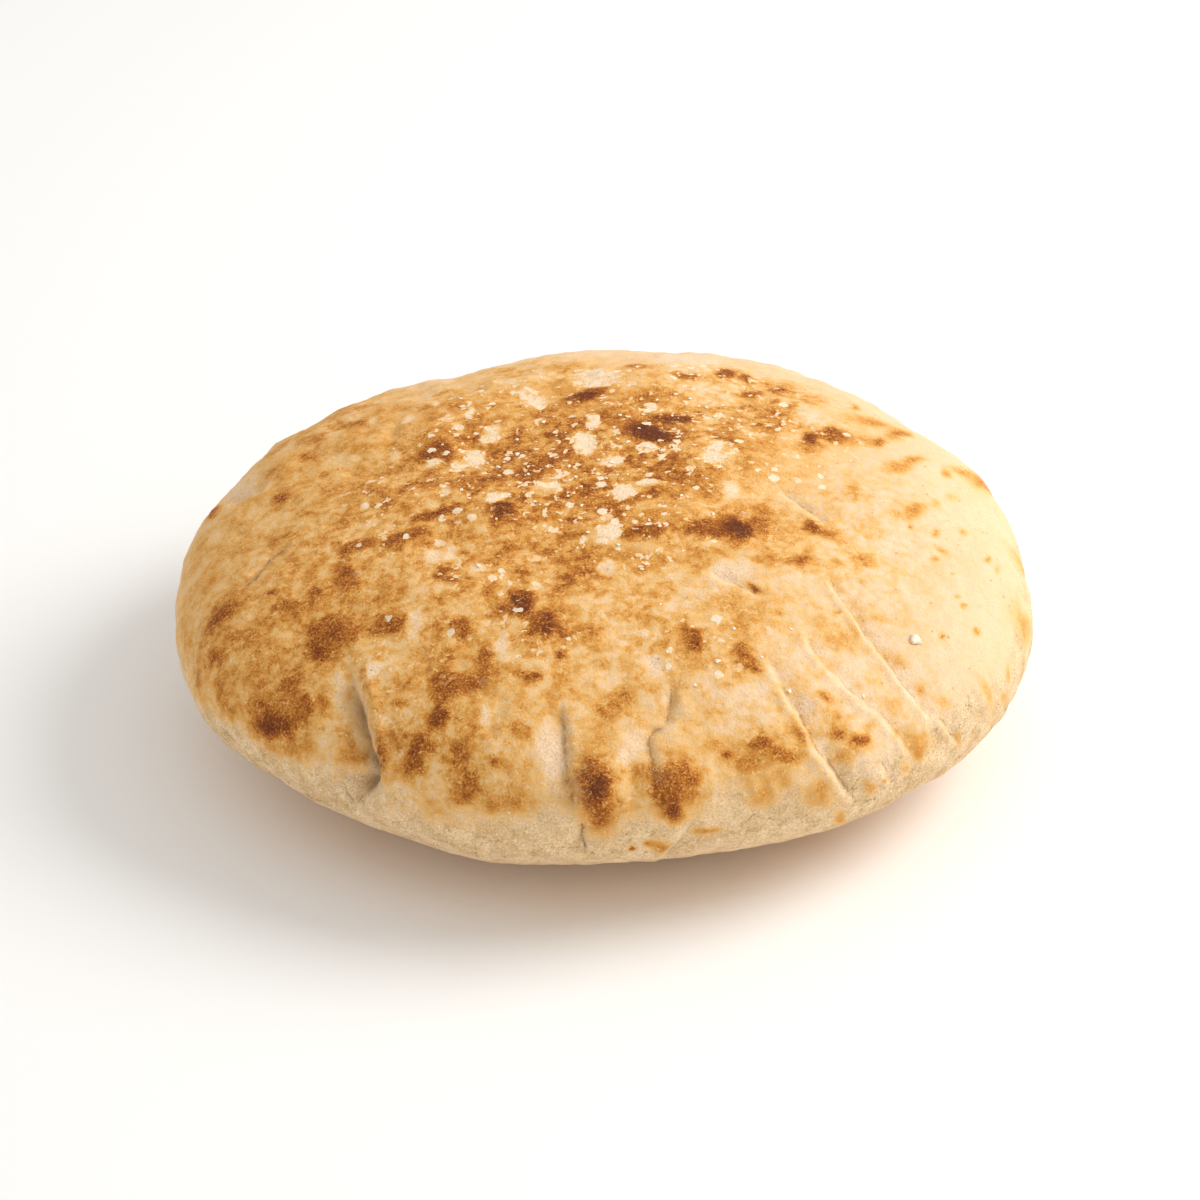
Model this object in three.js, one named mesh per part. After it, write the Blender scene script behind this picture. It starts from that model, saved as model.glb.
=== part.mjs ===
// A puffed round pita bread, baked on a flat hearth: one uncut cushion of dough, all one piece.
// Millimetres, +Z up. The bread rests on its flat underside at z = 0, and the origin is the bottom
// centre of its bounding box.
import * as THREE from "three";
import { mergeVertices } from "three/addons/utils/BufferGeometryUtils.js";

// ---- main sizes ----
const RIM_RADIUS = 80; // mean plan radius, at the widest line
const RIM_HEIGHT = 24; // height of the widest line above the table
const CROWN_RISE = 30; // from the widest line up to the top
const UNDER_DROP = 26; // from the widest line down; cut off level at the table, which leaves the flat foot
const CROWN_POWER = 2.35; // profile above the widest line: 2 would be an ellipse, more makes a fuller shoulder
const UNDER_POWER = 2.3; // the same below it
const CROWN_LEAN = [0.08, 0.139]; // how much fuller the shoulder is towards +X and towards +Y
const CROWN_MESH = 23; // rows of facets from the top to the widest line
const UNDER_MESH = 13; // rows of facets from there to the middle of the foot
const ROUND_MESH = 136; // facets round the edge

// Hand-shaped outline: share of the radius added by each wave round the edge [cosine, sine].
const PLAN_WAVES = [
  [-0.0118, 0.0036],
  [0.0428, 0.0038],
  [-0.004, -0.0022],
  [0.0024, -0.0045],
  [0.004, 0.0031],
  [-0.0044, 0.0061],
];

// Slow swells of the puffed crust: [height, waves per 100 mm in x, in y, phase].
const SWELLS = [
  [0.32, 1.9, 0.7, 0.4],
  [0.3, -0.8, 2.2, 2.1],
  [0.22, 2.9, -1.9, 4.0],
  [0.18, 1.2, 3.4, 5.2],
];

// Folds where the crust puckered as it cooled. A place on the crust is [azimuth, latitude] in degrees:
// azimuth round the edge from +X, latitude 90 at the top, 0 at the widest line, below 0 underneath.
// bow: sideways bend of the path in degrees. depth: mm. left, right: how far the slope reaches on each side, mm.
// lip: height of the swollen edge on the right of the fold, mm (on the left if negative).
const FOLDS = [
  { from: [225, 39], to: [234.5, -15], bow: 7, depth: 2.4, left: 7.5, right: 2.8, lip: 0.7 },
  { from: [232, 2], to: [232.5, -17], bow: 0.9, depth: 1.4, left: 3.4, right: 2.9, lip: 0.2 },
  { from: [262, 36], to: [267, -14], bow: 0.9, depth: 1.1, left: 3.7, right: 2.8, lip: 0.3 },
  { from: [282, 43], to: [276, 15], bow: -3.2, depth: 0.9, left: 3.2, right: 2.8, lip: 0.2 },
  { from: [281, 2], to: [278, -28], bow: -1, depth: 0.7, left: 2.8, right: 2.8, lip: -0.5 },
  { from: [322, 53], to: [319, 12], bow: -3.8, depth: 1.2, left: 3.9, right: 2.8, lip: 0.5 },
  { from: [320, 14.5], to: [323.5, -3.5], bow: 0, depth: 0.8, left: 3, right: 2.8, lip: 0.3 },
  { from: [309.5, 48], to: [314, 4], bow: -2.7, depth: 0.8, left: 3.4, right: 2.8, lip: 0.3 },
  { from: [298, 38], to: [305, -9], bow: -1.1, depth: 1.3, left: 3.5, right: 2.8, lip: 0.4 },
  { from: [351.5, 67], to: [341, 59], bow: -1.2, depth: 0.8, left: 2.8, right: 3, lip: -0.35 },
  { from: [191.5, 46], to: [197, 35], bow: 0, depth: 0.7, left: 2.8, right: 2.8, lip: -0.3 },
  { from: [170, 27], to: [169, 39], bow: 0, depth: 1.3, left: 3, right: 3.6, lip: 0.3 },
  // the side away from the front
  { from: [148, 40], to: [143, -12], bow: 3, depth: 1.5, left: 4.5, right: 3, lip: 0.5 },
  { from: [121, 44], to: [124, -4], bow: -3, depth: 0.9, left: 3.6, right: 3.4, lip: 0.3 },
  { from: [98, 32], to: [93, -16], bow: 2, depth: 1.3, left: 3, right: 4.4, lip: -0.5 },
  { from: [71, 46], to: [64, 0], bow: -3.5, depth: 0.9, left: 3.8, right: 3, lip: 0.3 },
  { from: [45, 34], to: [38, -14], bow: 3, depth: 1.2, left: 3, right: 4.2, lip: -0.4 },
  { from: [15, 30], to: [20, -10], bow: -2, depth: 0.8, left: 3.4, right: 3.4, lip: 0.2 },
];

// Blisters (height above 0) and dents (below 0): at [azimuth, latitude], height mm, radius mm.
const BLISTERS = [
  { at: [270, 12], height: 1.2, radius: 9 },
  { at: [280, 16], height: 1.0, radius: 8 },
  { at: [216, 64], height: -0.9, radius: 6 },
  { at: [150, 66], height: 0.9, radius: 16 },
  { at: [171, 58], height: -0.8, radius: 8 },
  { at: [231, 12], height: -0.9, radius: 12 },
  { at: [292, 22], height: 0.6, radius: 9 },
  { at: [60, 62], height: 0.8, radius: 14 },
  { at: [105, 20], height: 0.7, radius: 12 },
  { at: [20, 48], height: -0.5, radius: 12 },
];

const rad = (degrees) => (degrees * Math.PI) / 180;
const clamp01 = (v) => Math.min(1, Math.max(0, v));
const smooth = (a, b, v) => {
  const t = clamp01((v - a) / (b - a));
  return t * t * (3 - 2 * t);
};

// The plain cushion, before folds.
function cushion(azimuth, latitude) {
  const th = rad(azimuth),
    ps = rad(latitude);
  const c = Math.abs(Math.cos(ps)),
    s = Math.abs(Math.sin(ps));
  const power = latitude >= 0 ? CROWN_POWER : UNDER_POWER;
  const q = Math.pow(Math.pow(c, power) + Math.pow(s, power), -1 / power);
  const out = c * q,
    up = s * q;
  let r = 1;
  PLAN_WAVES.forEach(([a, b], i) => {
    r += a * Math.cos((i + 1) * th) + b * Math.sin((i + 1) * th);
  });
  r *= RIM_RADIUS * out;
  const rise =
    latitude >= 0
      ? CROWN_RISE * (1 + out * (CROWN_LEAN[0] * Math.cos(th) + CROWN_LEAN[1] * Math.sin(th)))
      : -UNDER_DROP;
  return new THREE.Vector3(r * Math.cos(th), r * Math.sin(th), RIM_HEIGHT + rise * up);
}

// The way the crust faces, from the solid angle of two short steps along it.
function facing(azimuth, latitude) {
  const lat = Math.max(-89, Math.min(89, latitude));
  const a = cushion(azimuth + 0.2, lat).sub(cushion(azimuth - 0.2, lat));
  const b = cushion(azimuth, lat + 0.2).sub(cushion(azimuth, lat - 0.2));
  return a.cross(b).normalize();
}

const foldPaths = FOLDS.map((f) => {
  const path = [];
  for (let i = 0; i <= 14; i++) {
    const u = i / 14;
    path.push(
      cushion(
        f.from[0] + (f.to[0] - f.from[0]) * u + f.bow * 4 * u * (1 - u),
        f.from[1] + (f.to[1] - f.from[1]) * u,
      ),
    );
  }
  return path;
});

// Depth of one fold at a point: an uneven valley that fades out at both ends, with a swollen lip on one side.
function foldHeight(f, path, p, n) {
  let best = Infinity,
    side = 1,
    along = 0;
  const seg = new THREE.Vector3(),
    rel = new THREE.Vector3();
  for (let i = 0; i < path.length - 1; i++) {
    seg.subVectors(path[i + 1], path[i]);
    rel.subVectors(p, path[i]);
    const t = clamp01(rel.dot(seg) / seg.lengthSq());
    const away = rel.clone().addScaledVector(seg, -t);
    const d = away.length();
    if (d < best) {
      best = d;
      along = (i + t) / (path.length - 1);
      side = seg.clone().cross(away).dot(n) > 0 ? 1 : -1;
    }
  }
  if (best > 30) return 0;
  const fade = smooth(0, 0.22, along) * (1 - smooth(0.8, 1, along)) * 0.85 + 0.15;
  const reach = side > 0 ? f.right : f.left;
  const valley = -f.depth * Math.exp(-Math.pow(best / reach, 1.7));
  const lipSide = f.lip * side > 0 ? 1 : 0.25;
  const lip = Math.abs(f.lip) * lipSide * Math.exp(-Math.pow((best - 2.1 * reach) / (1.1 * reach), 2));
  return (valley + lip) * fade;
}

function crust(azimuth, latitude) {
  const p = cushion(azimuth, latitude);
  if (p.z <= 0) return p.setZ(0);
  const n = facing(azimuth, latitude);
  let h = 0;
  for (const [height, wx, wy, phase] of SWELLS)
    h += height * Math.sin(((wx * p.x + wy * p.y) * 2 * Math.PI) / 100 + phase);
  for (const b of BLISTERS) {
    const d = p.distanceTo(cushion(...b.at)) / b.radius;
    h += b.height * Math.exp(-d * d);
  }
  FOLDS.forEach((f, i) => {
    h += foldHeight(f, foldPaths[i], p, n);
  });
  p.addScaledVector(n, h * smooth(0, 9, p.z));
  return p.setZ(Math.max(0, p.z));
}

function pitaGeometry() {
  const rows = CROWN_MESH + UNDER_MESH;
  const g = new THREE.SphereGeometry(1, ROUND_MESH, rows);
  const pos = g.getAttribute("position");
  for (let row = 0; row <= rows; row++)
    for (let col = 0; col <= ROUND_MESH; col++) {
      // rows are set a little closer together near the rim, where the crust turns over
      const latitude =
        row <= CROWN_MESH
          ? 90 * Math.pow(1 - row / CROWN_MESH, 1.12)
          : -90 * Math.pow((row - CROWN_MESH) / UNDER_MESH, 1.15);
      const azimuth = (360 * (col % ROUND_MESH)) / ROUND_MESH;
      const v = crust(row === 0 || row === rows ? 0 : azimuth, latitude);
      pos.setXYZ(row * (ROUND_MESH + 1) + col, v.x, v.y, v.z);
    }
  g.deleteAttribute("uv");
  g.deleteAttribute("normal");
  const solid = mergeVertices(g, 1e-4);
  solid.computeBoundingBox();
  const box = solid.boundingBox;
  solid.translate(-(box.min.x + box.max.x) / 2, -(box.min.y + box.max.y) / 2, -box.min.z);
  solid.computeVertexNormals();
  return solid;
}

const bakedCrust = new THREE.MeshStandardMaterial({ color: 0xdca764, roughness: 0.85, metalness: 0 });

const bread = new THREE.Mesh(pitaGeometry(), bakedCrust);
bread.name = "pita_bread";

const group = new THREE.Group();
group.add(bread);
export default group;
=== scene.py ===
import math

import bpy
import numpy as np
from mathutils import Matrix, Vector


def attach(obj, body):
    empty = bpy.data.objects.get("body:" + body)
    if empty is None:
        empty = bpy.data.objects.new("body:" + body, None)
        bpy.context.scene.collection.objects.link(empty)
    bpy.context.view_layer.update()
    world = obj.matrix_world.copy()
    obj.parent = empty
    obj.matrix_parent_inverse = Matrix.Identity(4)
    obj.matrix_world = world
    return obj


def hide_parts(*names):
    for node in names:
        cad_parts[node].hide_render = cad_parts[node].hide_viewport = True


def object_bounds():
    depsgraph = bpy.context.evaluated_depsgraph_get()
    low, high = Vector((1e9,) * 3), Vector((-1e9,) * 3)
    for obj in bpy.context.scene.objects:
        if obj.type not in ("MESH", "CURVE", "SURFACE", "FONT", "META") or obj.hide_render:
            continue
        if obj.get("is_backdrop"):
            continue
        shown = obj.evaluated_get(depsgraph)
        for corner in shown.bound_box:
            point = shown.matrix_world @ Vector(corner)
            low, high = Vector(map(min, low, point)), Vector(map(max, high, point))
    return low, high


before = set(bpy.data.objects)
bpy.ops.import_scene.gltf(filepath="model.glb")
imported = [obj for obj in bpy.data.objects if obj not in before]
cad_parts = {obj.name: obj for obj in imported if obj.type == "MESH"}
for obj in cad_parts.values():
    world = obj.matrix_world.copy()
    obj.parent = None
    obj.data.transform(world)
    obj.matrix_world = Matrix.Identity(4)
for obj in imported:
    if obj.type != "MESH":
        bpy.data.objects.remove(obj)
low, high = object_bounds()

# ---------------------------------------------------------------- shape of the bread (mm), as in the CAD part
RIM_RADIUS, RIM_HEIGHT, CROWN_RISE, UNDER_DROP, CROWN_POWER, UNDER_POWER = 80.0, 24.0, 30.0, 26.0, 2.35, 2.3
CROWN_LEAN = (0.08, 0.139)
PLAN_WAVES = ((-0.0118, 0.0036), (0.0428, 0.0038), (-0.004, -0.0022), (0.0024, -0.0045), (0.004, 0.0031), (-0.0044, 0.0061))
SWELLS = ((0.32, 1.9, 0.7, 0.4), (0.3, -0.8, 2.2, 2.1), (0.22, 2.9, -1.9, 4.0), (0.18, 1.2, 3.4, 5.2))
# folds: places along the line (azimuth, latitude), depth, reach to the left and right, lip, crack (0 to 1: how much of a sharp line lies in it)
FOLDS = (
    (((225.5, 37), (228.9, 32), (231.7, 27.2), (233.7, 22.4), (235.2, 17.1), (236.4, 10.9), (236.7, 5), (235.9, -1.2), (233.7, -9.6)), 3.6, 5.5, 1.7, 0.9, 0.4),
    (((231.3, 0.6), (232.2, -3.9), (232.8, -8.4), (232.9, -12.6)), 0.9, 3, 2, 0.2, 0.5),
    (((262, 39.1), (262.8, 34.9), (263.2, 29.4), (264, 23.3), (264.6, 16.2), (265.6, 8.4)), 1.15, 2.6, 0.8, 0.2, 0.55),
    (((266, 5), (266.3, 1.3), (266.5, -4.6), (266.8, -11.6)), 0.5, 1.6, 1.6, 0.1, 1),
    (((281.7, 43.4), (280.4, 40.6), (279.5, 37.3), (278.5, 34.3), (276.3, 31.8), (275.5, 28.7), (275.9, 23.3), (276.1, 15.5)), 0.7, 2, 1, 0.15, 0.5),
    (((281.2, 2), (279.9, -6.4), (278.5, -14.6), (278.1, -28.2)), 0.7, 1.4, 2, -0.5, 0.2),
    (((322.1, 53.2), (320.7, 50.5), (319, 45.9), (317.4, 38.5), (316.9, 29.6), (317.7, 20.1), (318.7, 11.8)), 0.6, 0.9, 2.6, -0.36, 0.36),
    (((319.7, 14.6), (320.5, 10), (322.1, 3.4), (323.7, -3.6)), 0.5, 0.9, 2.2, -0.3, 0.35),
    (((309.6, 48.4), (307.5, 44.1), (307, 41.5), (307.6, 36.3), (308.8, 29.9), (310.9, 22.2), (312.5, 14.5), (314, 4.1)), 0.42, 0.9, 2.2, -0.3, 0.22),
    (((298, 38.4), (298.5, 35), (299.1, 29.1), (299.3, 22.9), (300.1, 17.5), (301.4, 10.6), (303.3, 0.4), (305.2, -9)), 0.85, 1, 2.6, -0.45, 0.5),
    (((298.9, 43.8), (298.8, 40.9), (298.8, 37.2)), 0.5, 1, 2, -0.3, 0.3),
    (((308.4, 9.1), (309.4, 3.2), (310.5, -3.7)), 0.5, 0.9, 1.6, -0.3, 0.35),
    (((351.5, 67.1), (347.7, 65.2), (344.8, 62.9), (342.2, 60.9), (340.8, 59)), 0.7, 1.4, 2.2, -0.25, 0.5),
    (((191.6, 45.8), (192.3, 43.7), (193.4, 41.1), (194.7, 39.2), (196.3, 37.4), (197.1, 34.8)), 0.6, 1.6, 1.6, -0.1, 1),
    (((169.9, 27.1), (168.5, 29.3), (169.4, 34.1), (169.1, 37.2), (169, 39.1)), 1.3, 2.6, 3.2, 0.3, 0.3),
    (((300.2, 62.3), (301.3, 60.7), (303.3, 58.3), (304.5, 56.4), (305.5, 54.9)), 0.55, 1.3, 2, -0.25, 0.5),
    (((252.4, 40.7), (252.3, 37.4), (252.3, 33.5), (252.4, 29.5)), 0.4, 2, 2, 0.1, 0.05),
    (((196.2, 24.1), (197.6, 18.9), (199.3, 13.2), (200.9, 7.1), (202.6, 1.8)), 0.6, 1.6, 2.6, -0.2, 0.15),
    (((273.7, 38.1), (276.5, 38.4)), 0.3, 2, 2, 0.1, 0.1),
    # the side away from the front
    (((148, 40), (148.5, 14), (143, -12)), 1.5, 4.5, 2.0, 0.5, 0.6),
    (((121, 44), (119.5, 20), (124, -4)), 0.9, 3.6, 2.6, 0.3, 0.4),
    (((98, 32), (97.5, 8), (93, -16)), 1.3, 2.2, 4.4, -0.5, 0.6),
    (((71, 46), (64, 23), (64, 0)), 0.9, 3.8, 2.2, 0.3, 0.4),
    (((45, 34), (44.5, 10), (38, -14)), 1.2, 2.0, 4.2, -0.4, 0.6),
    (((15, 30), (15.5, 10), (20, -10)), 0.8, 3.0, 2.6, 0.2, 0.3),
)
BLISTERS = (
    ((270, 12), 1.2, 9), ((280, 16), 1.0, 8), ((216, 64), -0.9, 6), ((150, 66), 0.9, 16), ((171, 58), -0.8, 8),
    ((231, 12), -0.9, 12), ((292, 22), 0.6, 9), ((60, 62), 0.8, 14), ((105, 20), 0.7, 12), ((20, 48), -0.5, 12),
)


def cushion(az, lat):
    az, lat = np.asarray(az, float), np.asarray(lat, float)
    th, ps = np.radians(az), np.radians(lat)
    c, s = np.abs(np.cos(ps)), np.abs(np.sin(ps))
    power = np.where(lat >= 0, CROWN_POWER, UNDER_POWER)
    q = (c**power + s**power) ** (-1 / power)
    out, up = c * q, s * q
    r = 1.0
    for i, (a, b) in enumerate(PLAN_WAVES):
        r = r + a * np.cos((i + 1) * th) + b * np.sin((i + 1) * th)
    r = r * RIM_RADIUS * out
    rise = np.where(lat >= 0, CROWN_RISE * (1 + out * (CROWN_LEAN[0] * np.cos(th) + CROWN_LEAN[1] * np.sin(th))), -UNDER_DROP)
    return np.stack([r * np.cos(th), r * np.sin(th), RIM_HEIGHT + rise * up], -1)


def facing(az, lat):
    lat = np.clip(lat, -89, 89)
    a = cushion(az + 0.2, lat) - cushion(az - 0.2, lat)
    b = cushion(az, lat + 0.2) - cushion(az, lat - 0.2)
    n = np.cross(a, b)
    return n / np.linalg.norm(n, axis=-1, keepdims=True)


def smooth(a, b, v):
    t = np.clip((v - a) / (b - a), 0, 1)
    return t * t * (3 - 2 * t)


# ---------------------------------------------------------------- colours and light
CRUST_COLOURS = (
    (0.00, (0.865, 0.637, 0.425)),
    (0.16, (0.84, 0.58, 0.345)),
    (0.34, (0.81, 0.49, 0.183)),
    (0.50, (0.705, 0.345, 0.079)),
    (0.66, (0.53, 0.203, 0.032)),
    (0.82, (0.31, 0.084, 0.012)),
    (1.00, (0.125, 0.030, 0.009)),
)
WORLD = 0.75
LIGHTS = (
    ("key", (0.73, 0.13, 0.65), 0.6, 7.1, (1.0, 0.97, 0.935)),
)

# ---------------------------------------------------------------- where the crust browned
# Every entry is a place on the crust: azimuth, latitude (degrees), two radii (mm), turn (degrees), level.
TOASTED = (
    (217.9, 60.2, 59.5, 46, 16, 0.465), (144.1, 84.3, 37.8, 29.4, 122, 0.68), (146.9, 42.1, 19.3, 11.7, 41, 0.48),
    (108.3, 56.2, 15.3, 7.5, 139, 0.42), (132.8, 53.4, 10.1, 7.9, 147, 0.4), (213.7, 35.3, 37.3, 26.6, 173, 0.47), (267.8, 54, 32.4, 29, 174, 0.335),
    (245.3, 26.6, 24.2, 16.5, 8, 0.42), (46.7, 62.4, 22.6, 19, 4, 0.33), (316, 65.9, 21.5, 19.5, 6, 0.25), (293.1, 37.7, 18.4, 16, 5, 0.03),
    (329.8, 52.6, 31.8, 16.7, 15, 0.05), (274.1, 19.2, 19.4, 6.3, 176, 0.14), (308.6, 28.4, 18.2, 14.7, 179, 0.04),
)
BROWN = (
    (175.7, 44.3, 2.4, 1.9, 77, 0.85), (181.9, 59.8, 1.8, 1.3, 45, 0.75), (165.5, 66.7, 4.2, 3.1, 10, 0.88), (154.2, 64.2, 2.9, 1.8, 44, 0.65),
    (152.7, 49.4, 2.6, 1.8, 86, 0.75), (163, 46.1, 2.7, 1.2, 57, 0.75), (157.4, 43.8, 3.4, 1.9, 62, 0.58), (166.9, 42.3, 3.7, 2.1, 80, 0.62),
    (169.9, 49.9, 2, 1, 62, 0.6), (142.9, 58, 3.1, 1.7, 59, 0.65), (141.7, 52.1, 3, 1.6, 75, 0.65), (142.2, 44.8, 3.4, 1.6, 82, 0.58),
    (182.6, 53.7, 4.8, 2.3, 70, 0.56), (201.5, 65.3, 3.4, 1.4, 75, 0.9), (205.5, 61.4, 3.9, 1.7, 74, 0.82), (205.3, 58.6, 2, 1.4, 32, 0.8),
    (202.1, 54.6, 4.1, 1.8, 72, 0.85), (198.4, 52.3, 1.7, 1.1, 36, 0.75), (208.8, 50.7, 2.6, 1.9, 173, 0.85), (212.8, 48.9, 2.8, 2, 169, 0.7),
    (209.2, 44.6, 2.5, 1.7, 18, 0.75), (207.5, 40.1, 2.1, 1.4, 8, 0.75), (203.3, 39.7, 1.2, 0.7, 24, 0.8), (199.8, 46.6, 2.6, 1.5, 34, 0.6),
    (226, 59.1, 2.2, 1.5, 19, 0.72), (226.6, 47.8, 2.3, 1.8, 4, 0.75), (238.9, 50.8, 2, 1.7, 148, 0.85), (230.4, 53.9, 2.2, 1.7, 10, 0.6),
    (199.8, 27.2, 4.8, 2.6, 101, 0.88), (190.9, 29.3, 3.3, 1.3, 33, 0.52), (181.3, 26.8, 4, 1.6, 22, 0.52), (185.9, 37.2, 2.9, 1.2, 40, 0.5),
    (187.8, 44.4, 2.2, 1.7, 115, 0.6), (170.6, 24, 3.6, 1.7, 36, 0.85), (178.7, 34.2, 3, 1.2, 37, 0.48), (183.6, 49.6, 2.4, 1.4, 45, 0.62),
    (156.4, 33.6, 4.2, 2.3, 20, 0.62), (177.8, 43.5, 2.5, 1.5, 74, 0.5), (160.2, 68.1, 2.7, 1.5, 30, 0.7), (101.5, 69, 3.5, 1.9, 1, 0.92),
    (98.6, 68.7, 2.1, 1.6, 177, 1.05), (95.3, 67.7, 2.2, 2.1, 57, 0.9), (82.7, 59.2, 1.9, 1.8, 178, 0.72), (66.9, 60.9, 3, 1.6, 5, 0.82),
    (59.6, 54.4, 3, 1.8, 103, 0.8), (61.2, 60.4, 2.3, 1.3, 15, 0.65), (73.8, 70.8, 3.9, 2.5, 82, 0.7), (68.9, 68.1, 1.9, 1.8, 42, 0.72),
    (58.6, 79.8, 4.9, 2.7, 172, 1), (56.9, 74.2, 3.9, 2, 35, 0.92), (55.1, 79.8, 3.5, 2.4, 8, 1.08), (53.9, 74.7, 3.2, 1.9, 38, 1.05),
    (44, 77.5, 3.7, 3.2, 126, 0.8), (73.7, 80.8, 1.8, 1.5, 109, 0.9), (92.5, 75, 1.9, 1.6, 160, 0.72), (101.3, 75.2, 1.6, 1.1, 80, 0.75),
    (135.3, 80.6, 3.6, 2.2, 58, 0.72), (167, 82.7, 4.7, 3.4, 127, 0.76), (182.3, 79.7, 3.1, 2.9, 92, 0.86), (168.5, 85.3, 2.2, 1.7, 92, 0.75),
    (161.7, 74.5, 2.9, 2.2, 34, 0.66), (187.3, 71, 2.5, 1.9, 56, 0.76), (196.7, 74.7, 1.3, 1.1, 0, 0.66), (214.8, 73.1, 2.4, 2.1, 7, 1),
    (220.4, 74.9, 1.6, 1.4, 175, 0.7), (258.7, 81, 4.5, 2.9, 132, 0.76), (252.7, 82.3, 2.4, 1.4, 106, 0.8), (230.1, 77.7, 2.5, 2.1, 18, 0.62),
    (247.3, 76.7, 0.9, 0.9, 151, 0.82), (254.7, 74.4, 1.9, 0.9, 8, 0.72), (337.2, 81.6, 3.5, 2, 114, 0.8), (331.6, 82.3, 1, 0.9, 29, 0.96),
    (304.1, 80.8, 3.3, 1.5, 0, 0.82), (289.6, 80.8, 1.6, 1.4, 80, 0.76), (288, 73.4, 3.3, 2.2, 163, 0.9), (311.7, 70.2, 4.9, 2.5, 157, 0.9),
    (5.2, 79.2, 2.2, 2, 101, 0.56), (232.9, 67.7, 2, 1.5, 131, 0.76), (239.6, 65.3, 2.6, 1.6, 17, 0.66), (247.4, 70.6, 2.1, 1.7, 8, 0.6),
    (262.2, 69.4, 1.9, 1.5, 99, 0.66), (258.8, 64.9, 3.1, 1.4, 38, 0.78), (255.5, 62.3, 1.8, 1.5, 176, 0.72), (269, 64.7, 1.1, 1, 138, 0.72),
    (248.3, 58, 3.6, 2.5, 115, 1), (245.2, 56.3, 2.2, 1.9, 171, 0.82), (255.6, 54.6, 2.9, 2.3, 110, 1), (238.7, 60, 1.8, 1.5, 3, 0.72),
    (237.6, 51.3, 2.1, 1.7, 147, 0.75), (226.7, 59, 1.6, 1.3, 8, 0.66), (287.5, 66.8, 2.1, 1.9, 168, 0.56), (289, 78.9, 1.9, 1.8, 137, 0.62),
    (334.8, 76.1, 1.9, 1.8, 5, 0.52), (141.7, 77.3, 3, 2.2, 56, 0.66), (134, 65.4, 3.4, 2.7, 164, 0.6), (125.4, 63.3, 3.3, 2.2, 128, 0.55),
    (139.5, 61, 1.9, 1.9, 24, 0.65), (121.4, 78.2, 2.3, 1.5, 146, 0.6), (60, 54.9, 2.7, 1.5, 107, 0.86), (55, 53.9, 3.1, 1.5, 113, 0.92),
    (46.4, 53.2, 4.2, 2.5, 94, 0.72), (47.4, 59, 2.7, 1.4, 61, 0.76), (48.8, 54.8, 5.4, 3.2, 77, 0.55), (38.9, 51.9, 3.5, 1.9, 94, 0.52),
    (39.6, 61.9, 6.9, 2.3, 59, 0.72), (40.9, 58.2, 1.2, 0.8, 105, 0.82), (32.9, 64.8, 6.3, 4, 69, 0.62), (26.7, 62.5, 3.6, 2.6, 91, 0.58),
    (18.3, 60.8, 2.3, 1.4, 143, 0.96), (20.6, 56.8, 3.3, 2.9, 88, 0.86), (14.5, 61.8, 2.6, 1.9, 135, 0.72), (22, 72.7, 2.2, 1.9, 106, 0.66),
    (34.1, 45.2, 2.2, 0.9, 116, 0.66), (27.7, 48.6, 4.5, 3.2, 98, 0.46), (26.8, 45.8, 2.7, 1.9, 77, 0.62), (22.7, 43.6, 4.4, 1.7, 125, 0.76),
    (17.6, 50.1, 1.9, 1, 133, 0.78), (18, 52.8, 3, 1.5, 106, 0.56), (4.4, 71, 2.5, 2.1, 115, 0.56), (17.5, 69, 3.3, 2.3, 86, 0.52),
    (8.2, 49.5, 3.3, 1.7, 124, 0.56), (11.8, 46.1, 2.5, 1.1, 122, 0.62), (5.4, 50.6, 2.1, 1.2, 132, 0.5), (14.3, 26.3, 6.5, 2.8, 129, 0.72),
    (13.2, 34.6, 3.7, 1.3, 110, 0.58), (10, 40, 1.5, 0.7, 148, 0.62), (355.4, 57.2, 2.6, 1.1, 14, 0.46), (354.1, 47.2, 2.3, 1.2, 134, 0.56),
    (350.7, 48.9, 2.8, 1.1, 127, 0.5), (348.2, 47.2, 0.6, 0.4, 155, 0.72), (320.6, 67.9, 3.8, 2.8, 61, 1), (320.4, 67.6, 2.3, 1.7, 64, 1.1),
    (327.7, 66, 4.4, 3, 26, 0.72), (327.7, 61.8, 3.9, 2.8, 49, 0.58), (336.1, 60.6, 2, 1.7, 40, 0.88), (336.3, 57.3, 3.9, 1.9, 65, 0.58),
    (332.4, 51.8, 2.6, 1.7, 68, 0.58), (331.2, 69.6, 3.2, 1.7, 128, 0.6), (319.3, 58.8, 4.3, 2.2, 146, 0.6), (321.9, 57.5, 1.4, 1.1, 21, 0.76),
    (326.2, 53.8, 2, 1.5, 12, 0.56), (316.9, 61, 2.4, 2.1, 6, 0.56), (305.6, 56.7, 1.6, 0.7, 104, 0.82), (315.8, 46.6, 1.1, 0.8, 174, 0.62),
    (315.3, 42.7, 2.1, 1.7, 6, 0.42), (322.1, 42.4, 1.3, 0.9, 165, 0.48), (306.1, 50.6, 0.6, 0.6, 15, 0.62), (302.5, 52, 1.5, 1.3, 42, 0.52),
    (297.8, 55.1, 3.1, 2.2, 61, 0.52), (336.6, 34.2, 0.7, 0.4, 165, 0.6), (335.5, 32.1, 0.6, 0.4, 132, 0.6), (333.5, 25.7, 0.9, 0.6, 174, 0.62),
    (349.7, 31.8, 1, 0.5, 163, 0.6), (345.1, 41.3, 1.1, 0.7, 88, 0.5), (341.9, 41.2, 1, 0.6, 156, 0.5), (349.3, 42.6, 1.2, 0.6, 179, 0.55),
    (353, 38.4, 1.4, 0.7, 166, 0.5), (2.4, 40.2, 1.9, 1.1, 150, 0.4), (358.2, 44, 1.6, 0.8, 165, 0.4), (340.4, 37.6, 0.5, 0.3, 151, 0.6),
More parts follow.
